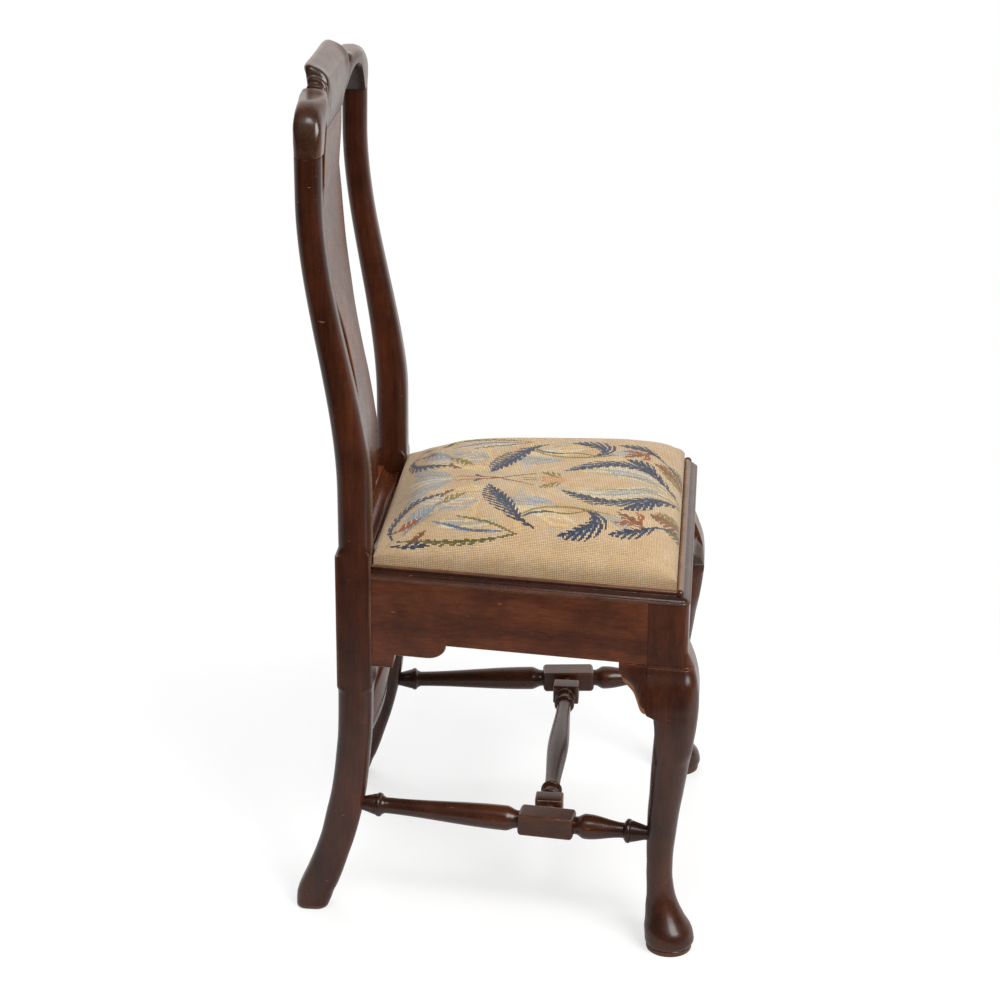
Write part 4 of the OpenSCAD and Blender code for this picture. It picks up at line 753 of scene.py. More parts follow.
def block(at, length, across, tall, rounded, edge=1.8):
    # a square block whose ends are dressed round in the lathe
    s = np.concatenate([rounded * (1 - np.cos(np.linspace(0, math.pi / 2, 9))), [length / 2]])
    s = np.concatenate([s, length - s[:-1][::-1]])
    d = np.minimum(s, length - s)
    shrink = rounded * (1 - np.sqrt(np.clip(1 - np.clip(1 - d / rounded, 0, 1) ** 2, 0, 1)))
    flat, wear = ringGrid(-across / 2 + shrink, across / 2 - shrink, -tall / 2 + shrink, tall / 2 - shrink,
                          [edge] * 4, arcSteps=5)
    return loft(atHeight(flat, s - length / 2 + at), wear * 0.5)


def moved(part, matrix):
    matrix = np.array(matrix)
    return [part[0] @ matrix[:3, :3].T + matrix[:3, 3]] + part[1:]


def quarterTurn(axis):
    return Matrix.Rotation(math.pi / 2, 4, axis)


# the side stretcher runs between the middles of the rear foot and the front leg at its height
rearX, rearY = float(postMid(stretcherZ)), float(postBack(stretcherZ) - postDepth(stretcherZ) / 2)
legX = float(seat["frontW"] / 2 + kneeLine(stretcherZ) + legSplay(stretcherZ) - legDepth(stretcherZ) / 2)
legY = float(seat["frontY"] - kneeLine(stretcherZ) + legDepth(stretcherZ) / 2)
run = rearY - legY
length = math.hypot(run, legX - rearX)


def sideStretcher():
    # from the back: cone, ring, long swell, slim part with the block, second swell, ring and cone
    neck, wide, ring, tenon, slim = (lathe[key] for key in ("neck", "swell", "ring", "tenon", "slim"))
    outline = rowsOf((-lathe["tenonRear"], tenon), (0.055 * length, tenon), (0.098 * length, ring - 1.2),
                     bead(0.107 * length, ring - 1.4, ring + 0.3), (0.119 * length, ring - lathe["ringHalf"]),
                     swell(0.128 * length, 0.5 * length, neck + 0.5, wide),
                     swell(0.513 * length, 0.549 * length, wide, slim), (0.72 * length, slim),
                     swell(0.735 * length, 0.763 * length, slim, wide),
                     swell(0.763 * length + lathe["ringHalf"], 0.883 * length, wide, neck),
                     bead(0.898 * length, ring - 1.4, ring + 0.3), (0.909 * length, ring - 1.2),
                     (0.95 * length, tenon), (length + lathe["tenonFront"], tenon))
    # darker in the thin places and round the rings at both ends
    share = outline[:, 0] / length
    darkened = -0.8 * np.maximum(1 - (outline[:, 1] - tenon) / (wide - tenon), (share < 0.125) | (share > 0.885))
    yaw = Matrix.Rotation(math.atan((legX - rearX) / run), 4, "Z")
    place = Matrix.Translation((rearX, rearY, stretcherZ)) @ yaw @ quarterTurn("X")
    square = block(lathe["blockAt"] * length, *lathe["block"])
    return [moved(part, place) for part in (loft(turned(outline), darkened[:, None]), square)]


addPair("sideStretcher", sideStretcher(), turnedWood, "side_stretcher", sharp=40)


def medialStretcher():
    # thick in the middle, two rings, and a square block with a last ring at each end
    half = mix(rearX, legX, lathe["blockAt"]) - lathe["block"][1] / 2
    neck, low, high = lathe["neck"], *medialEnd["ring"]
    outline = bothWays(rowsOf(
        swell(0, 0.6 * half, lathe["medialSwell"], neck), bead(0.64 * half, low, high), (0.7 * half, neck),
        bead(0.75 * half, low, high), (0.79 * half, neck), (0.91 * half, neck),
        bead(0.935 * half, medialEnd["tenon"], 9.6), (half + lathe["tenonMedial"], medialEnd["tenon"])))
    size = [(medialEnd["to"] - medialEnd["from"]) * half] + [medialEnd[key] for key in ("wide", "tall", "round")]
    middle = (medialEnd["to"] + medialEnd["from"]) / 2 * half
    place = Matrix.Translation((0, rearY - run * lathe["blockAt"], stretcherZ)) @ quarterTurn("Y") @ quarterTurn("Z")
    return [moved(part, place) for part in (loft(turned(outline)), block(middle, *size), block(-middle, *size))]


def rearStretcher():
    # one long swell between the rear feet
    z = lathe["rearZ"]
    half = float(postMid(z) - postWidth(z) / 2) + lathe["tenonCross"]
    outline = bothWays(rowsOf(swell(0, 0.8 * half, lathe["rearSwell"], lathe["neck"]),
                              (0.84 * half, lathe["tenon"]), (half - 1, lathe["tenon"])))
    place = Matrix.Translation((0, float(postBack(z) - postDepth(z) / 2), z)) @ quarterTurn("Y")
    return [moved(loft(turned(outline)), place)]


addPiece("medialStretcher", medialStretcher(), turnedAcross, ["medial_stretcher"], sharp=40)
addPiece("rearStretcher", rearStretcher(), crossWood, ["rear_stretcher"], "walnut_dark", sharp=40)

# mouldings on the rail tops

mould = {"w": 15, "h": 14.5, "bead": 3.8, "lip": 2.0, "lipOut": 1.4, "corner": 9.0, "leastCorner": 1.2, "gap": 0.06,
         "bossIn": 11.2, "bossUp": 10.8, "boss": 4.9}
beadTurn, slope, lipTurn = np.linspace(0, math.radians(205), 22), np.linspace(0, 1, 8), np.linspace(0, math.pi, 12)
# inner face, bead, slope with a slight hollow and lip, as [inset from the rail's face, height on the rail]
mouldProfile = rowsOf(
    (mould["w"], 0), (mould["w"], 6),
    (mould["w"] - mould["bead"] * (1 - np.cos(beadTurn)), mould["h"] - mould["bead"] * (1 - np.sin(beadTurn))),
    (mix(7.2, 1.5, slope), mix(8.4, 5.2, slope) + 0.6 * np.sin(slope * math.pi)), (0.9, 4.1),
    (mould["lip"] - mould["lipOut"] - mould["lip"] * np.sin(lipTurn), mould["lip"] * (1 + np.cos(lipTurn))))


def mouldPath(inset, front):
    # the rail's outline drawn in by the inset, round at the corner; the two mouldings meet at the middle of the arc
    r = max(mould["corner"] - inset, mould["leastCorner"])
    deep = inset + r
    ox, oy = railX(seat["frontY"] + deep, deep), seat["frontY"] + deep
    sideAngle, frontAngle = math.atan(sideSlope), -math.pi / 2
    middle, gap = (sideAngle + frontAngle) / 2, mould["gap"] / r
    angle = np.linspace(middle - gap, frontAngle, 8) if front else np.linspace(sideAngle, middle + gap, 8)
    arc = np.stack([ox + r * np.cos(angle), oy + r * np.sin(angle)], -1)
    share = np.linspace(0, 1, 24)[:-1, None]
    if front:
        other = arc[::-1] * [-1, 1]
        return np.concatenate([arc, mix(arc[-1], other[0], share[1:]), other])
    y1 = seat["rearY"] - seat["glue"]
    start = np.array([railX(y1, inset), y1])
    return np.concatenate([mix(start, arc[0], share), arc])


def moulding(front):
    paths = np.stack([mouldPath(inset, front) for inset in mouldProfile[:, 0]], 1)
    # the bead is paler along its top, partly rubbed and partly a painted highlight; painted shade lies on the slope;
    # the lip is a little paler, partly wear and partly a painted highlight
    wear = np.zeros(len(mouldProfile))
    wear[2:18] = 0.35 + 0.6 * np.sin(np.linspace(0, math.pi, 16)) ** 4
    wear[20:32] = -0.6
    wear[-9:-2] = 0.25
    return loft(xyz(paths[..., 0], paths[..., 1], seat["top"] + mouldProfile[:, 1]), wear)


def boss():
    # small round boss worn into the bead where the two mouldings meet
    y, r = seat["frontY"] + mould["bossIn"], mould["boss"]
    a, b = np.linspace(0.1, math.pi - 0.1, 16)[:, None], np.linspace(0, 2 * math.pi, 28, endpoint=False)
    return loft(xyz(railX(y, mould["bossIn"]) + r * np.sin(a) * np.cos(b), y + r * np.sin(a) * np.sin(b),
                    seat["top"] + mould["bossUp"] - r * np.cos(a)))


addPair("seatMoulding", [moulding(False), boss()], mouldLong, "seat_moulding", slot="walnut_dark", sharp=45)
addPiece("seatMouldingFront", [moulding(True)], mouldAcross, ["seat_moulding_front"], "walnut_dark", sharp=45)

# inner woodwork and the loose seat frame

for corner in ("front_right", "front_left", "rear_right", "rear_left"):
    copyNode("glue_block_" + corner, "corner_block_" + corner, beechAcross, 1.2, "inner_wood")
for side, material in (("front", beechAcross), ("rear", beechAcross), ("right", beechLong), ("left", beechLong)):
    copyNode("loose_rail_" + side, "slip_rail_" + side, material, 0.6, "inner_wood", "slip_seat")
print("chair: stretchers, mouldings and seat frame ready")

# webbing and base cloth

slip = {"inset": 16.65, "w": 48, "y0": -205.35, "y1": 141.75, "hem": 8, "cloth": (451.95, 452.65)}
web = {"w": 48, "thick": 1.1, "long": 4, "cross": 3, "tack": 22, "mid": 450.3, "lift": 0.72, "flat": 20, "dip": 22}
webY = np.linspace(slip["y0"] + slip["w"] + web["w"], slip["y1"] - slip["w"] - web["w"], web["cross"])
webX = np.linspace(-0.5, 0.5, web["long"]) * (railX(slip["y1"], slip["inset"] + slip["w"] / 2) * 2 - web["w"] * 1.5)


def strips(lengthwise):
    # flat strips that pass over and under each other: height is a row of bumps of alternating sign
    parts = []
    for i, centre in enumerate(webX if lengthwise else webY):
        if lengthwise:
            ends = (slip["y0"] + slip["w"] - web["tack"], slip["y1"] - slip["w"] + web["tack"])
        else:
            half = railX(centre + web["w"] / 2, slip["inset"] + slip["w"] / 2) + slip["w"] / 4
            ends = (-half, half)
        along = np.linspace(*ends, 120)[:, None]
        across = centre + np.linspace(-web["w"] / 2, web["w"] / 2, 9)
        top = web["mid"] + web["thick"] / 2
        for j, other in enumerate(webY if lengthwise else webX):
            sign = 1 if ((i + j) % 2 == 1) == lengthwise else -1
            top = top + sign * (1 - ease((np.abs(along - other) - web["flat"]) / web["dip"])) * web["lift"]
        low, high = ((xyz(across, along, z) if lengthwise else xyz(along, across, z)) for z in (top - web["thick"], top))
        parts.append(loft(np.concatenate([low, high[:, ::-1]], 1)))
    return parts


addPiece("webbingLengthwise", strips(True), juteMaterial, ["webbing_lengthwise"], "jute_webbing", "slip_seat")
addPiece("webbingCrosswise", strips(False), juteMaterial, ["webbing_crosswise"], "jute_webbing", "slip_seat")


def clothHalf(y):
    return railX(y, slip["inset"] + slip["hem"])


def baseCloth():
    # one tight sheet on top of the webbing
    y = np.linspace(slip["y0"] + slip["hem"], slip["y1"] - slip["hem"], 40)[:, None]
    low, high = (xyz(np.linspace(-1, 1, 40) * clothHalf(y), y, z) for z in slip["cloth"])
    return loft(np.concatenate([low, high[:, ::-1]], 1))


cloth = addPiece("baseCloth", [baseCloth()], linenMaterial, ["base_cloth"], "linen", "slip_seat")

# needlework cushion

cushion = {"inset": 15.3, "y0": -206.7, "y1": 143.1, "edge": 456.7, "crown": 42.0, "sidePower": 5.0, "rearPower": 3.0,
           "frontPower": 10.0, "base": 434.3, "across": 206, "deep": 186, "swell": 3.5, "pressure": 4.0, "frames": 20,
           "seed": 7, "halfWide": 195, "halfDeep": 175, "padLevels": (448, 441), "stiffness": 60, "fadeFrom": 0.93,
           "heldBelow": 449.5, "looseOver": 7.2}


def crownLift(u, v):
    # flat-topped crown: the square root of (1 - |u|^p)(1 - |v|^q), steeper in front than behind
    q = np.where(v < 0, cushion["frontPower"], cushion["rearPower"])
    return np.sqrt(np.clip((1 - np.abs(u) ** cushion["sidePower"]) * (1 - np.abs(v) ** q), 0, 1))


def evenShares(count, half, below, above):
    # shares from -1 to 1 whose steps have even lengths over the crown's middle section
    t = np.linspace(-1, 1, 8001)
    z = cushion["crown"] * np.sqrt(1 - np.abs(t) ** np.where(t < 0, below, above))
    run = np.concatenate([[0], np.cumsum(np.hypot(np.diff(t) * half, np.diff(z)))])
    return np.interp(np.linspace(0, run[-1], count + 1), run, t)


def cushionTop(u, v, inset=0.0):
    y = mix(cushion["y0"] + inset, cushion["y1"] - inset, (v + 1) / 2)
    return xyz(u * railX(y, cushion["inset"] + inset), y, cushion["edge"] + (cushion["crown"] - inset) * crownLift(u, v))


def rimOrder(rows, columns):
    # numbers of a grid's edge points, anticlockwise from above
    g = np.arange(rows * columns).reshape(rows, columns)
    return np.concatenate([g[0, :], g[1:, -1], g[-1, -2::-1], g[-2:0:-1, 0]])


def skirted(rows, columns, count):
    # faces of a grid, of the given number of loops below its rim, and one across the last loop
    rim = rimOrder(rows, columns)
    loops = np.concatenate([rim, rows * columns + np.arange(count * len(rim))]).reshape(count + 1, -1)
    upper, lower = loops[:-1], loops[1:]
    sides = np.stack([lower, np.roll(lower, -1, 1), np.roll(upper, -1, 1), upper], -1).reshape(-1, 4)
    return gridFaces(rows, columns, False).tolist() + sides.tolist() + [loops[-1].tolist()]


def puffed(across, deep):
    # how far a coarse closed pad of the same form moves when it is blown up a little with its lower edge held
    u, v = np.meshgrid(*(np.sin(np.linspace(-1, 1, count) * math.pi / 2) for count in (across, deep)))
    top = cushionTop(u, v, inset=1.0).reshape(-1, 3)
    rim = top[rimOrder(deep, across)]
    points = np.concatenate([top] + [xyz(rim[:, 0], rim[:, 1], z) for z in (*cushion["padLevels"], cushion["base"])])
    faces = skirted(deep, across, 3)
    faces[-1].reverse()
    mesh = bpy.data.meshes.new("padTrial")
    mesh.from_pydata((points * mm).tolist(), [], faces)
    pad = newObject("padTrial", mesh)
    pad.vertex_groups.new(name="held").add(list(range(len(top), len(points))), 1.0, "REPLACE")
    cloth = pad.modifiers.new("fill", "CLOTH")
    settings = cloth.settings
    settings.use_pressure, settings.uniform_pressure_force = True, cushion["pressure"]
    settings.effector_weights.gravity = 0
    settings.vertex_group_mass = "held"
    settings.tension_stiffness = settings.compression_stiffness = cushion["stiffness"]
    cloth.point_cache.frame_start, cloth.point_cache.frame_end = 1, cushion["frames"]
    for number in range(1, cushion["frames"] + 1):
        bpy.context.scene.frame_set(number)
    shape = pad.evaluated_get(bpy.context.evaluated_depsgraph_get()).to_mesh()
    after = np.zeros(len(shape.vertices) * 3)
    shape.vertices.foreach_get("co", after)
    shift = after.reshape(-1, 3)[:len(top)] / mm - top
    bpy.data.objects.remove(pad)
    bpy.data.meshes.remove(mesh)
    bpy.context.scene.frame_set(1)
    size = np.linalg.norm(shift, axis=1, keepdims=True)
    shift *= np.minimum(1, cushion["swell"] / np.maximum(size, 1e-9))
    # the move dies out towards the rim, where the cover runs down behind the mouldings
    fadeU, fadeV = (1 - ease((np.abs(t) - cushion["fadeFrom"]) / (1 - cushion["fadeFrom"])) for t in (u, v))
    return u[0], v[:, 0], shift.reshape(deep, across, 3) * (fadeU * fadeV)[..., None]


def resampled(shares, values, wanted, axis):
    # straight interpolation of a grid's values along one axis
    k = np.clip(np.searchsorted(shares, wanted) - 1, 0, len(shares) - 2)
    t = np.expand_dims((wanted - shares[k]) / (shares[k + 1] - shares[k]), (1 - axis, 2))
    return np.take(values, k, axis) * (1 - t) + np.take(values, k + 1, axis) * t


uShares = evenShares(cushion["across"], cushion["halfWide"], cushion["sidePower"], cushion["sidePower"])
vShares = evenShares(cushion["deep"], cushion["halfDeep"], cushion["frontPower"], cushion["rearPower"])
uGrid, vGrid = np.meshgrid(uShares, vShares)
topPoints = cushionTop(uGrid, vGrid)
uCoarse, vCoarse, shift = puffed(84, 72)
topPoints = topPoints + resampled(uCoarse, resampled(vCoarse, shift, vShares, 0), uShares, 1)
print("chair: cushion blown up, largest move", round(float(np.abs(shift).max()), 2), "mm")

# what is worked on the canvas: scrolling feathered leaves, sprigs and a tulip, mirrored about the middle line
needlework = {"middle": -20, "nearScale": 0.93, "farScale": 0.86, "halfAcross": 219, "middleDepth": 188}
threads = {"ground": "#caaf8d", "warm": "#c6ae8b", "pale": "#d2c2a6", "navy": "#1f2a45", "blue": "#435b7e",
           "grey": "#8792a2", "sky": "#9fa7ae", "olive": "#7f7433", "leaf": "#57572a", "ochre": "#b6974a",
           "rust": "#94572c", "brick": "#794b27", "pink": "#cf9f74", "yellow": "#dfc178", "cream": "#d9cfb5"}
# kind and colours, half width and the middle line as [distance from the middle, depth from the front edge]
drawing = [
    ("spray cream sky", 15, [[66, 338], [84, 304], [80, 262]]),
    ("spray sky grey", 10, [[20, 300], [44, 328], [80, 346]]),
    ("spray yellow cream", 10, [[30, 250], [52, 280], [46, 318]]),
    ("spray cream yellow", 16, [[20, 60], [44, 96], [60, 128]]),
    ("spray sky cream", 10, [[150, 300], [150, 268], [140, 230]]),
    ("spray cream sky", 13, [[8, 34], [26, 70], [40, 104], [38, 140]]),
    ("spray sky grey", 9, [[12, 48], [34, 84], [48, 116]]),
    ("spray cream yellow", 12, [[104, 214], [110, 186], [116, 160], [132, 142]]),
    ("spray grey sky", 9, [[66, 232], [84, 206], [80, 172]]),
    ("spray sky grey", 7, [[62, 206], [74, 186], [90, 160]]),
    ("spray sky grey", 11, [[4, 292], [18, 316], [40, 346]]),
    ("spray cream sky", 8, [[2, 296], [6, 320], [14, 350]]),
    ("spray grey sky", 9, [[88, 256], [106, 276], [112, 300]]),
    ("spray pink yellow", 8, [[46, 236], [56, 262], [50, 296]]),
    ("spray pink cream", 7, [[84, 298], [100, 282], [96, 262]]),
    ("spray sky grey", 8, [[132, 340], [108, 316], [96, 292]]),
    ("spray sky grey", 7, [[112, 104], [124, 88], [142, 76]]),
    ("spray yellow pink", 7, [[128, 176], [140, 164], [142, 144]]),
    ("line olive ochre", 1.6, [[4, 12], [18, 52], [26, 92], [30, 122]]),
    ("feather navy blue grey", 12, [[3, 8], [26, 34], [58, 70], [66, 108], [38, 158]]),
    ("feather navy blue grey", 9, [[36, 42], [62, 58], [92, 86]]),
    ("feather brick rust olive", 17, [[70, 2], [80, 26], [94, 52]]),
    ("feather leaf olive ochre", 11, [[84, 0], [102, 14], [114, 34]]),
    ("feather olive ochre yellow", 9, [[60, 2], [64, 22], [78, 44]]),
    ("feather brick rust pink", 7, [[134, 52], [116, 66], [100, 90]]),
    ("feather rust rust pink", 4.5, [[116, 66], [124, 80], [126, 92]]),
    ("feather rust pink rust", 4.5, [[120, 62], [104, 60], [96, 68]]),
    ("line navy blue", 1.6, [[98, 20], [116, 36], [128, 54]]),
    ("feather navy blue grey", 9, [[118, 42], [134, 62], [152, 98]]),
    ("feather navy blue grey", 12, [[96, 134], [112, 118], [134, 118], [150, 134], [160, 156]]),
    ("line olive ochre", 3.0, [[122, 202], [102, 182], [94, 152], [100, 124], [108, 100]]),
    ("line leaf olive", 1.8, [[108, 178], [114, 150], [104, 128]]),
    ("feather navy blue grey", 14, [[150, 186], [132, 202], [84, 222], [26, 246]]),
    ("line navy blue", 2.4, [[128, 200], [116, 188], [110, 166]]),
    ("feather leaf olive ochre", 4.5, [[162, 204], [174, 240], [182, 286], [184, 344]]),
    ("line olive leaf", 2.2, [[160, 210], [146, 236], [134, 276]]),
    ("line blue grey", 2.6, [[160, 222], [160, 262], [146, 304]]),
    ("feather navy blue grey", 8, [[178, 352], [152, 358], [118, 350], [86, 332], [58, 298]]),
    ("feather grey sky cream", 10, [[172, 338], [140, 326], [104, 304]]),
    ("feather rust brick pink", 5.5, [[166, 358], [152, 338], [130, 322]]),
    ("feather brick rust olive", 4, [[186, 328], [176, 318], [164, 312]]),
    ("feather navy blue grey", 5, [[194, 352], [196, 330], [190, 306]]),
    ("feather olive ochre yellow", 7, [[102, 306], [84, 288], [58, 272]]),
    ("feather brick rust pink", 4, [[72, 300], [56, 294], [44, 286]]),
    ("line brick rust", 1.7, [[22, 194], [6, 226], [-2, 242], [-8, 286]]),
    ("line leaf olive", 1.7, [[3, 206], [4, 184], [2, 152]]),
    ("feather olive pink ochre", 7, [[0, 160], [14, 172], [30, 186]]),
    ("feather pink ochre olive", 7, [[0, 150], [3, 168], [4, 190]]),
    ("line navy blue", 2.6, [[6, 258], [9, 262], [13, 264]])]


def throughPoints(points, count=90):
    # even steps along a smooth curve through the points
    p = smoothAlong(np.array(points, float)[None], 24)[0]
    run = np.concatenate([[0], np.cumsum(np.linalg.norm(np.diff(p, axis=0), axis=1))])
    even = np.linspace(0, run[-1], count)
    return np.stack([np.interp(even, run, p[:, 0]), np.interp(even, run, p[:, 1])], -1), even


def groundStitches(color, across, depth, random):
    # mottled ground with soft streaks that fan out from the middle line over the rear half
    shape = across.shape
    slow = np.sin(across / 31 + 1.3) * np.cos(depth / 37) + 0.6 * np.sin(across / 13 + depth / 17)
    middle = np.exp(-((across + 15) / 150) ** 6 - ((depth - 185) / 165) ** 6)
    warm = np.clip(middle * (0.68 + 0.32 * slow) + random.normal(0, 0.14, shape), 0, 1)[..., None]
    out = mix(color["ground"], color["warm"], warm)
    out = mix(out, color["pale"], np.clip(random.normal(0.1, 0.22, shape) * middle, 0, 0.7)[..., None])
    aside = across - needlework["middle"]
    fan, far = np.arctan2(depth - 205, np.abs(aside) + 4), np.hypot(depth - 205, aside)
    streak = np.clip(np.sin(fan * 19 + 1.3 * np.sin(far / 19)) + random.normal(0, 0.3, shape), 0, 1)
    streak = streak * np.exp(-((far - 85) / 75) ** 4)
    turn = np.sin(fan * 7 + far / 40)[..., None]
    tint = np.where(turn > 0.3, color["sky"], np.where(turn > -0.4, color["yellow"], color["pink"]))
    return mix(out, tint, 0.5 * streak[..., None])


def workedShare(kind, width, t, s, off, outer, noise):
    # how much of a stitch is covered and by which thread; t and s are its share and length along the middle line
    if kind == "line":
        reach = width * (0.55 + 0.45 * np.sin(math.pi * np.clip(t, 0, 1)))
        return 0.92 * (off < np.maximum(reach, 1.15)), np.where(off + noise * 0.4 < reach * 0.6, 0, 1)
    if kind == "spray":
        # thin hairs side by side in two colours
        phase = ((s - off * 0.6) / 9.0 + t) % 1
        reach = 1.35 * width * np.sin(math.pi * np.clip(t * 0.9 + 0.08, 0, 1)) ** 0.8
        hair = np.abs(((off + 40) / 4.6) % 1 - 0.5) > 0.13 + 0.05 * noise
        inside = (off < reach * (0.7 + 0.3 * phase)) & hair
        return np.clip(0.78 + 0.14 * noise, 0.3, 0.95) * inside, np.where(((off + 2) / 4.6) % 2 < 1, 0, 1)
    # barbs sweep forward from the vein, long on the outer side and short on the other
    phase = ((s - off * 1.6 + 0.2 * noise) / 11.0) % 1
    body = np.clip(np.sin(math.pi * np.clip(t, 0, 1) ** 1.35), 0, 1) ** 0.7
    reach = width * body * np.where(outer, 1.6, 0.6)
    barb = (phase < 0.86 - 0.36 * off / np.maximum(reach, 0.1)) & (off < reach)
    pick = np.select([off < 1.7, phase < 0.5, phase < 0.78, phase < 0.88], [0, 0, 1, 2], 0)
    return np.where(pick == 2, 0.8, 0.96) * ((off < np.maximum(reach * 0.4, 1.3)) | barb), pick


def stitchColors(across, depth, random):
    # colour of each stitch: the last drawn leaf, line or spray that covers it, else the ground
    color = {name: np.array(hexColor(text)[:3]) for name, text in threads.items()}
    flat = groundStitches(color, across, depth, random).reshape(-1, 3)
    place = np.stack([across.reshape(-1), depth.reshape(-1)], -1)
    for side, scale in ((-1, needlework["nearScale"]), (1, needlework["farScale"])):
        for text, width, points in drawing:
            kind, *names = text.split()
            path, run = throughPoints([[needlework["middle"] + side * a * scale, b] for a, b in points])
            close = (place > path.min(0) - width - 3) & (place < path.max(0) + width + 3)
            near = np.flatnonzero(close.all(1))
            if not len(near):
                continue
            gap = place[near, None] - path
            best = np.argmin((gap ** 2).sum(-1), 1)
            gap = gap[np.arange(len(near)), best]
            way = np.gradient(path, axis=0)[best]
            way /= np.linalg.norm(way, axis=1, keepdims=True)
            turn = gap[:, 0] * way[:, 1] - gap[:, 1] * way[:, 0]
            off = np.maximum(np.abs(turn), np.linalg.norm(gap, axis=1) * 0.999)
            noise = random.normal(0, 1, len(near))
            covered, pick = workedShare(kind, width, best / (len(path) - 1), run[best], off, turn * side > 0, noise)
            tint = np.array([color[n] for n in names])[np.minimum(pick, len(names) - 1)]
            flat[near] = mix(flat[near], tint, covered[:, None])
    return flat.reshape(across.shape + (3,))


# loops below the rim, as [inset, height]: down round the loose frame, turned under it, then the inside back up
coverLoops = [(0, z) for z in np.arange(454.6, 435.2, -2.2)] + [
    (0.15, 434.7), (0.8, 434.35), (1.4, 434.3), (9, 434.3), (18, 434.3), (18.3, 434.9), (18, 435.45), (9, 435.45),
    (1.3, 435.45), (1.3, 444), (1.3, 453.1)]


def runs(points, axis):
    # length from the first point to each next one along a row or column of the grid
    return np.cumsum(np.linalg.norm(np.diff(points, axis=axis), axis=2), axis=axis)


def needleworkCover():
    # the stitched top, a skirt, the edge turned under and the inside, one closed sheet
    rows, columns = topPoints.shape[:2]
    flat = topPoints.reshape(-1, 3)
    rim = rimOrder(rows, columns)
    m, count = len(rim), len(coverLoops)
    ur, vr = uGrid.reshape(-1)[rim], vGrid.reshape(-1)[rim]
    move = flat[rim] - cushionTop(ur, vr)
    loops = []
    for inset, z in coverLoops:
        loop = cushionTop(ur, vr, inset=inset)
        loop[:, 2] = z
        if inset == 0:
            loop += move * np.clip((z - cushion["heldBelow"]) / cushion["looseOver"], 0, 1)
        loops.append(loop)
    mesh = bpy.data.meshes.new("needleworkCover")
    mesh.from_pydata((np.concatenate([flat] + loops) * mm).tolist(), [], skirted(rows, columns, count))
    mesh.polygons.foreach_set("use_smooth", np.ones(len(mesh.polygons), bool))
    # stitch numbers as the piece's own map: one unit for each stitch
    i, j = np.meshgrid(np.arange(rows - 1), np.arange(columns - 1), indexing="ij")
    topMap = np.stack([j[..., None] + [0, 1, 1, 0], i[..., None] + [0, 0, 1, 1]], -1).reshape(-1, 2)
    r, c = np.meshgrid(np.arange(count), np.arange(m), indexing="ij")
    sideMap = np.stack([c[..., None] + [0, 1, 1, 0], -r[..., None] - [1, 1, 0, 0]], -1).reshape(-1, 2)
    stitches = np.concatenate([topMap, sideMap, np.zeros((m, 2))]).astype(np.float32)
    mesh.uv_layers.new(name="stitches").data.foreach_set("uv", stitches.ravel())
    random = np.random.default_rng(cushion["seed"])
    centre = (topPoints[:-1, :-1] + topPoints[1:, 1:]) / 2
    across = runs(topPoints, 1)[:-1]
    across = across - across[:, [columns // 2 - 1]]
    across = across / across[:, -1:] * needlework["halfAcross"]
    depth = runs(topPoints, 0)[:, :-1]
    depth = depth - depth[[rows // 2 - 1]] + needlework["middleDepth"]
    color = stitchColors(across, depth, random)
    color = color * (1 + random.normal(0, 0.05, color.shape[:2]) + 0.03 * np.sin(centre[..., 0] * 2.1))[..., None]
    side = np.array(hexColor(threads["ground"])[:3]) * (1 + random.normal(0, 0.05, (count * m, 1)))
    whole = np.concatenate([np.repeat(color.reshape(-1, 3), 4, 0), np.repeat(side, 4, 0), np.repeat(side[:1], m, 0)])
    rgba = np.concatenate([np.clip(whole, 0, 1), np.ones((len(whole), 1))], 1).astype(np.float32)
    mesh.color_attributes.new("wool", "FLOAT_COLOR", "CORNER").data.foreach_set("color", rgba.ravel())
    mesh.update()
    return mesh


def woolMaterial():
    # tent stitch in crewel wool on canvas: soft, matt, each stitch a small slanted lump with dark canvas holes between
    material, add = newMaterial("needleworkWool")
    stitch = add("UVMap", uv_map="stitches")
    split = add("SeparateXYZ", Vector=stitch)
    waves = []
    for axisName in ("X", "Y"):
        part = add("Math", operation="FRACT", i0=(split, axisName))
        bell = add("Math", operation="SINE", i0=add("Math", **times, i0=part, i1=math.pi))
        waves.append(bell)
    lump = add("Math", **times, i0=waves[0], i1=waves[1])
    fuzz = add("TexNoise", Vector=stitch, Scale=5.0, Detail=3.0)
    height = add("Math", operation="MULTIPLY_ADD", i0=fuzz, i1=0.35, i2=lump)
    holes = add("ValToRGB", Fac=lump, stops=[(0.04, "#8a7a62"), (0.5, "#ffffff")])
    wool = add("VertexColor", layer_name="wool")
    shaded = add("Mix", **colorTimes, i0=0.75, A=wool, B=holes)
    soil = add("TexNoise", Vector=stitch, Scale=0.05, Detail=4.0)
    soilTone = add("ValToRGB", Fac=soil, stops=[(0.3, "#f2ead8"), (0.7, "#ffffff")])
    final = add("Mix", **colorTimes, i0=1.0, A=shaded, B=soilTone)
    bump = add("Bump", Height=height, Strength=0.6, Distance=0.0006)
    shader = add("BsdfPrincipled", Base_Color=final, Roughness=0.92, Normal=bump,
                 Sheen_Weight=0.15, Sheen_Roughness=0.5)
    add("OutputMaterial", Surface=shader)
    return material


cover = placePiece("needleworkCover", needleworkCover(), woolMaterial(), ["needlework_cover", "stuffing"], "needlework",
                   "slip_seat")
print("chair: needlework cover ready,", len(cover.data.polygons), "faces")

# tacks that hold the turned edge of the cover under the loose frame
tack = {"gap": 34, "inset": 27.5, "r": 2.4, "rise": 0.225, "z": 434.25}


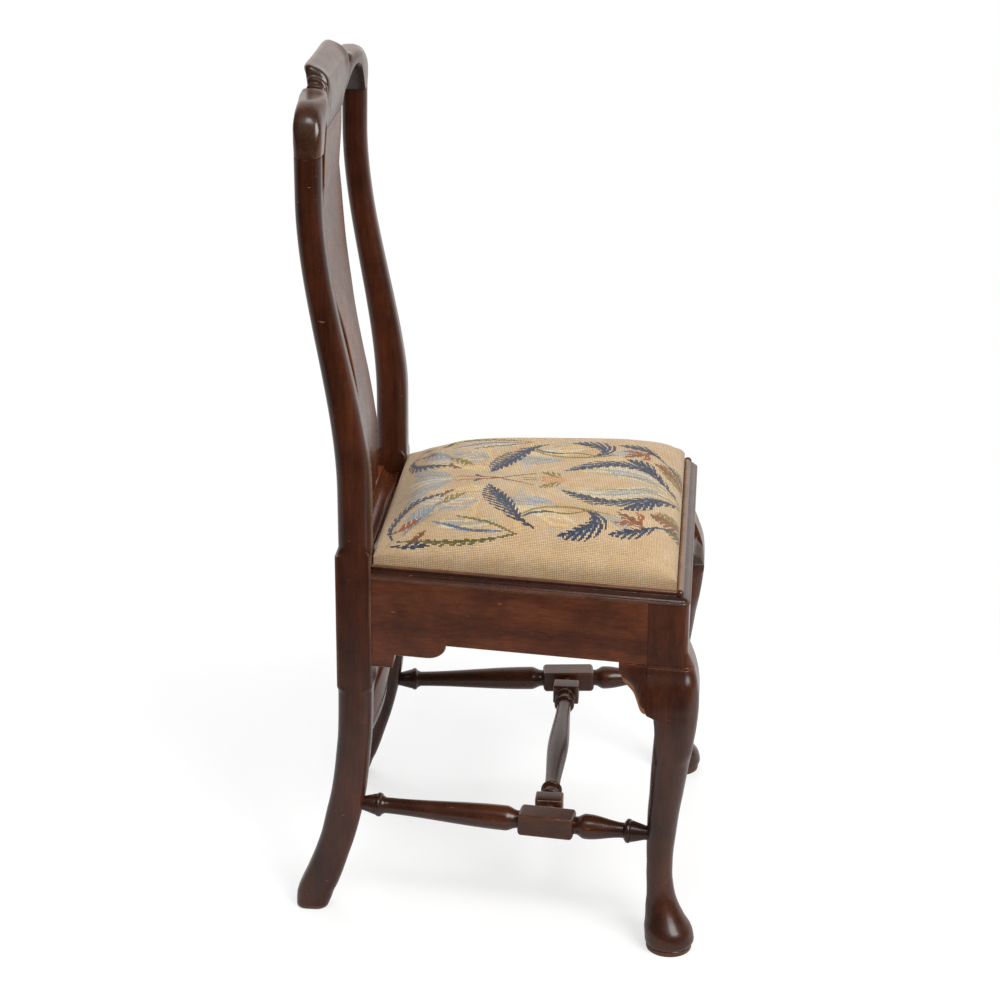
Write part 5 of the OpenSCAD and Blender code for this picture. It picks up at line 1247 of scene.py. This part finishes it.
def tackHeads():
    # low domes: rings whose height is a circle's arc, in a row a set distance in from each edge
    y0, y1 = cushion["y0"] + tack["inset"] - cushion["inset"], cushion["y1"] - tack["inset"] + cushion["inset"]
    places = []
    for y in np.linspace(y0, y1, int((y1 - y0) / tack["gap"]) + 1):
        places += [(side * railX(y, tack["inset"]), y) for side in (-1, 1)]
    for y in (y0, y1):
        half = railX(y, tack["inset"]) - tack["gap"]
        places += [(x, y) for x in np.linspace(-half, half, int(2 * half / tack["gap"]) + 1)]
    a = np.linspace(0, 2 * math.pi, 14, endpoint=False)
    rise = np.array([0, 0.5, 0.85, 1.0])[:, None]
    r = tack["r"] * np.sqrt(1 - rise ** 2 * 0.98)
    return [loft(xyz(x + r * np.cos(a), y + r * np.sin(a), tack["z"] - tack["rise"] * rise)) for x, y in places]


def tackIron():
    # blued iron tacks gone brown: dull, slightly pitted metal
    material, add = newMaterial("tackIron")
    here = (add("TexCoord"), "Object")
    pits = add("TexNoise", Vector=here, Scale=900.0, Detail=3.0)
    tone = add("ValToRGB", Fac=pits, stops=[(0.35, "#2a2624"), (0.65, "#5a4436")])
    bump = add("Bump", Height=pits, Strength=0.4, Distance=0.0002)
    shader = add("BsdfPrincipled", Base_Color=tone, Metallic=0.8, Roughness=0.5, Normal=bump)
    add("OutputMaterial", Surface=shader)
    return material


addPiece("coverTacks", tackHeads(), tackIron(), [], "needlework", "slip_seat")

# floor, room and lamps
stage = {"floor": 14.0, "world": 0.55, "dark": 0.1, "glow": 0.6, "mirror": 0.6, "sheen": [1, 0.94, 0.9, 1]}


def whiteWorld():
    # soft white room; what the camera, gloss and glass see is plain white
    world = bpy.data.worlds.new("whiteRoom")
    bpy.context.scene.world = world
    world.use_nodes = True
    world.node_tree.nodes.clear()
    add = partial(addNode, world.node_tree)
    path = add("LightPath")
    seen = add("Math", **highest, i0=(path, "Is Camera Ray"), i1=(path, "Is Transmission Ray"))
    seenOrGloss = add("Math", **highest, i0=seen, i1=(path, "Is Glossy Ray"))
    # the white sweep stands behind the chair; on the camera's side the room is dim
    way = add("TexCoord")
    split = add("SeparateXYZ", Vector=(way, "Generated"))
    sweep = add("MapRange", **smoothRange, Value=(split, "X"), i1=0.0, i2=0.7, i3=stage["dark"], i4=1.0)
    shade = add("Math", **highest, i0=sweep, i1=(path, "Is Camera Ray"))
    soft = add("Background", Color=[1, 1, 1, 1], Strength=stage["world"])
    warm = add("Mix", **colorMix, i0=(path, "Is Glossy Ray"), A=[1, 1, 1, 1], B=stage["sheen"])
    white = add("Background", Color=warm, Strength=shade)
    both = add("MixShader", Fac=seenOrGloss, i1=soft, i2=white)
    add("OutputWorld", Surface=both)


def floorMaterial():
    # matt white studio paper: shows the chair's shadow, otherwise plain white to the camera
    material, add = newMaterial("studioPaper")
    path = add("LightPath")
    here = (add("TexCoord"), "Object")
    split = add("SeparateXYZ", Vector=here)
    # the paper ends a metre in front of the camera side of the chair; past it lies the dim studio floor
    edge = add("MapRange", **smoothRange, Value=(split, "X"), i1=-1.15, i2=-0.55)
    tone = add("ValToRGB", Fac=edge, stops=[(0.0, "#3a3a3a"), (1.0, "#d2d2d2")])
    bright = add("Mix", **colorMix, i0=(path, "Is Camera Ray"), A=tone, B=[1, 1, 1, 1])
    paper = add("BsdfDiffuse", Color=bright)
    warm = add("Mix", **colorMix, i0=(path, "Is Glossy Ray"), A=[1, 1, 1, 1], B=stage["sheen"])
    glow = add("Emission", Color=warm, Strength=1.0)
    reach = add("VectorMath", operation="LENGTH", i0=here)
    away = add("MapRange", **smoothRange, Value=reach, i1=0.45, i2=1.1, i3=stage["glow"], i4=1.0)
    seen = add("Math", **times, i0=(path, "Is Camera Ray"), i1=away)
    behind = add("MapRange", **smoothRange, Value=(split, "X"), i1=-0.1, i2=0.8)
    gloss = add("Math", **times, i0=(path, "Is Glossy Ray"), i1=behind)
    farther = add("MapRange", **smoothRange, Value=reach, i1=0.3, i2=1.4, i3=0.1, i4=stage["mirror"])
    glossSeen = add("Math", **times, i0=gloss, i1=farther)
    half = add("Math", **highest, i0=seen, i1=glossSeen)
    both = add("MixShader", Fac=half, i1=paper, i2=glow)
    add("OutputMaterial", Surface=both)
    return material


whiteWorld()
paper = bpy.data.meshes.new("studioFloor")
half = stage["floor"]
paper.from_pydata([(-half, -half, 0), (half, -half, 0), (half, half, 0), (-half, half, 0)], [], [[0, 1, 2, 3]])
paper.materials.append(floorMaterial())
newObject("studioFloor", paper)

# place, height that it points at, watts, side, colour and whether gloss shows it
lamps = {"keyRight": ((-1.8, -1.6, 2.4), 0.5, 80, 1.5, (1, 0.99, 0.97), True),
         "softBehind": ((1.4, 0.5, 2.6), 0.4, 30, 1.6, (0.98, 0.99, 1), False),
         "smallAbove": ((-2.0, 0.15, 3.5), 0.6, 20, 0.8, (1, 1, 1), True)}
for name, (place, aim, energy, size, color, glossy) in lamps.items():
    light = bpy.data.lights.new(name, "AREA")
    light.energy, light.color, light.shape, light.size = energy, color, "SQUARE", size
    thing = newObject(name, light)
    thing.location, thing.visible_glossy = place, glossy
    thing.rotation_euler = (Vector((0, 0, aim)) - Vector(place)).to_track_quat("-Z", "Y").to_euler()

# the camera stands on the sitter's right, a little above seat height
view = {"place": (-2.8499, -0.2394, 1.5956), "yaw": 0.088, "pitch": 0.34872, "roll": 0.00513, "lens": 91.742,
        "sensor": 36.0, "shiftY": -0.07}
cameraData = bpy.data.cameras.new("photoCamera")
cameraData.sensor_width, cameraData.lens, cameraData.shift_y = view["sensor"], view["lens"], view["shiftY"]
cameraThing = newObject("photoCamera", cameraData)
(sinYaw, cosYaw), (sinPitch, cosPitch), (sinRoll, cosRoll) = (
    (math.sin(view[key]), math.cos(view[key])) for key in ("yaw", "pitch", "roll"))
ahead = np.array([cosYaw * cosPitch, sinYaw * cosPitch, -sinPitch])
right = np.array([sinYaw, -cosYaw, 0])
up = np.cross(right, ahead)
matrix = np.eye(4)
matrix[:3] = np.stack([right * cosRoll + up * sinRoll, up * cosRoll - right * sinRoll, -ahead, view["place"]], -1)
cameraThing.matrix_world = Matrix(matrix.tolist())
bpy.context.scene.camera = cameraThing
bpy.context.scene.view_settings.view_transform = "Standard"
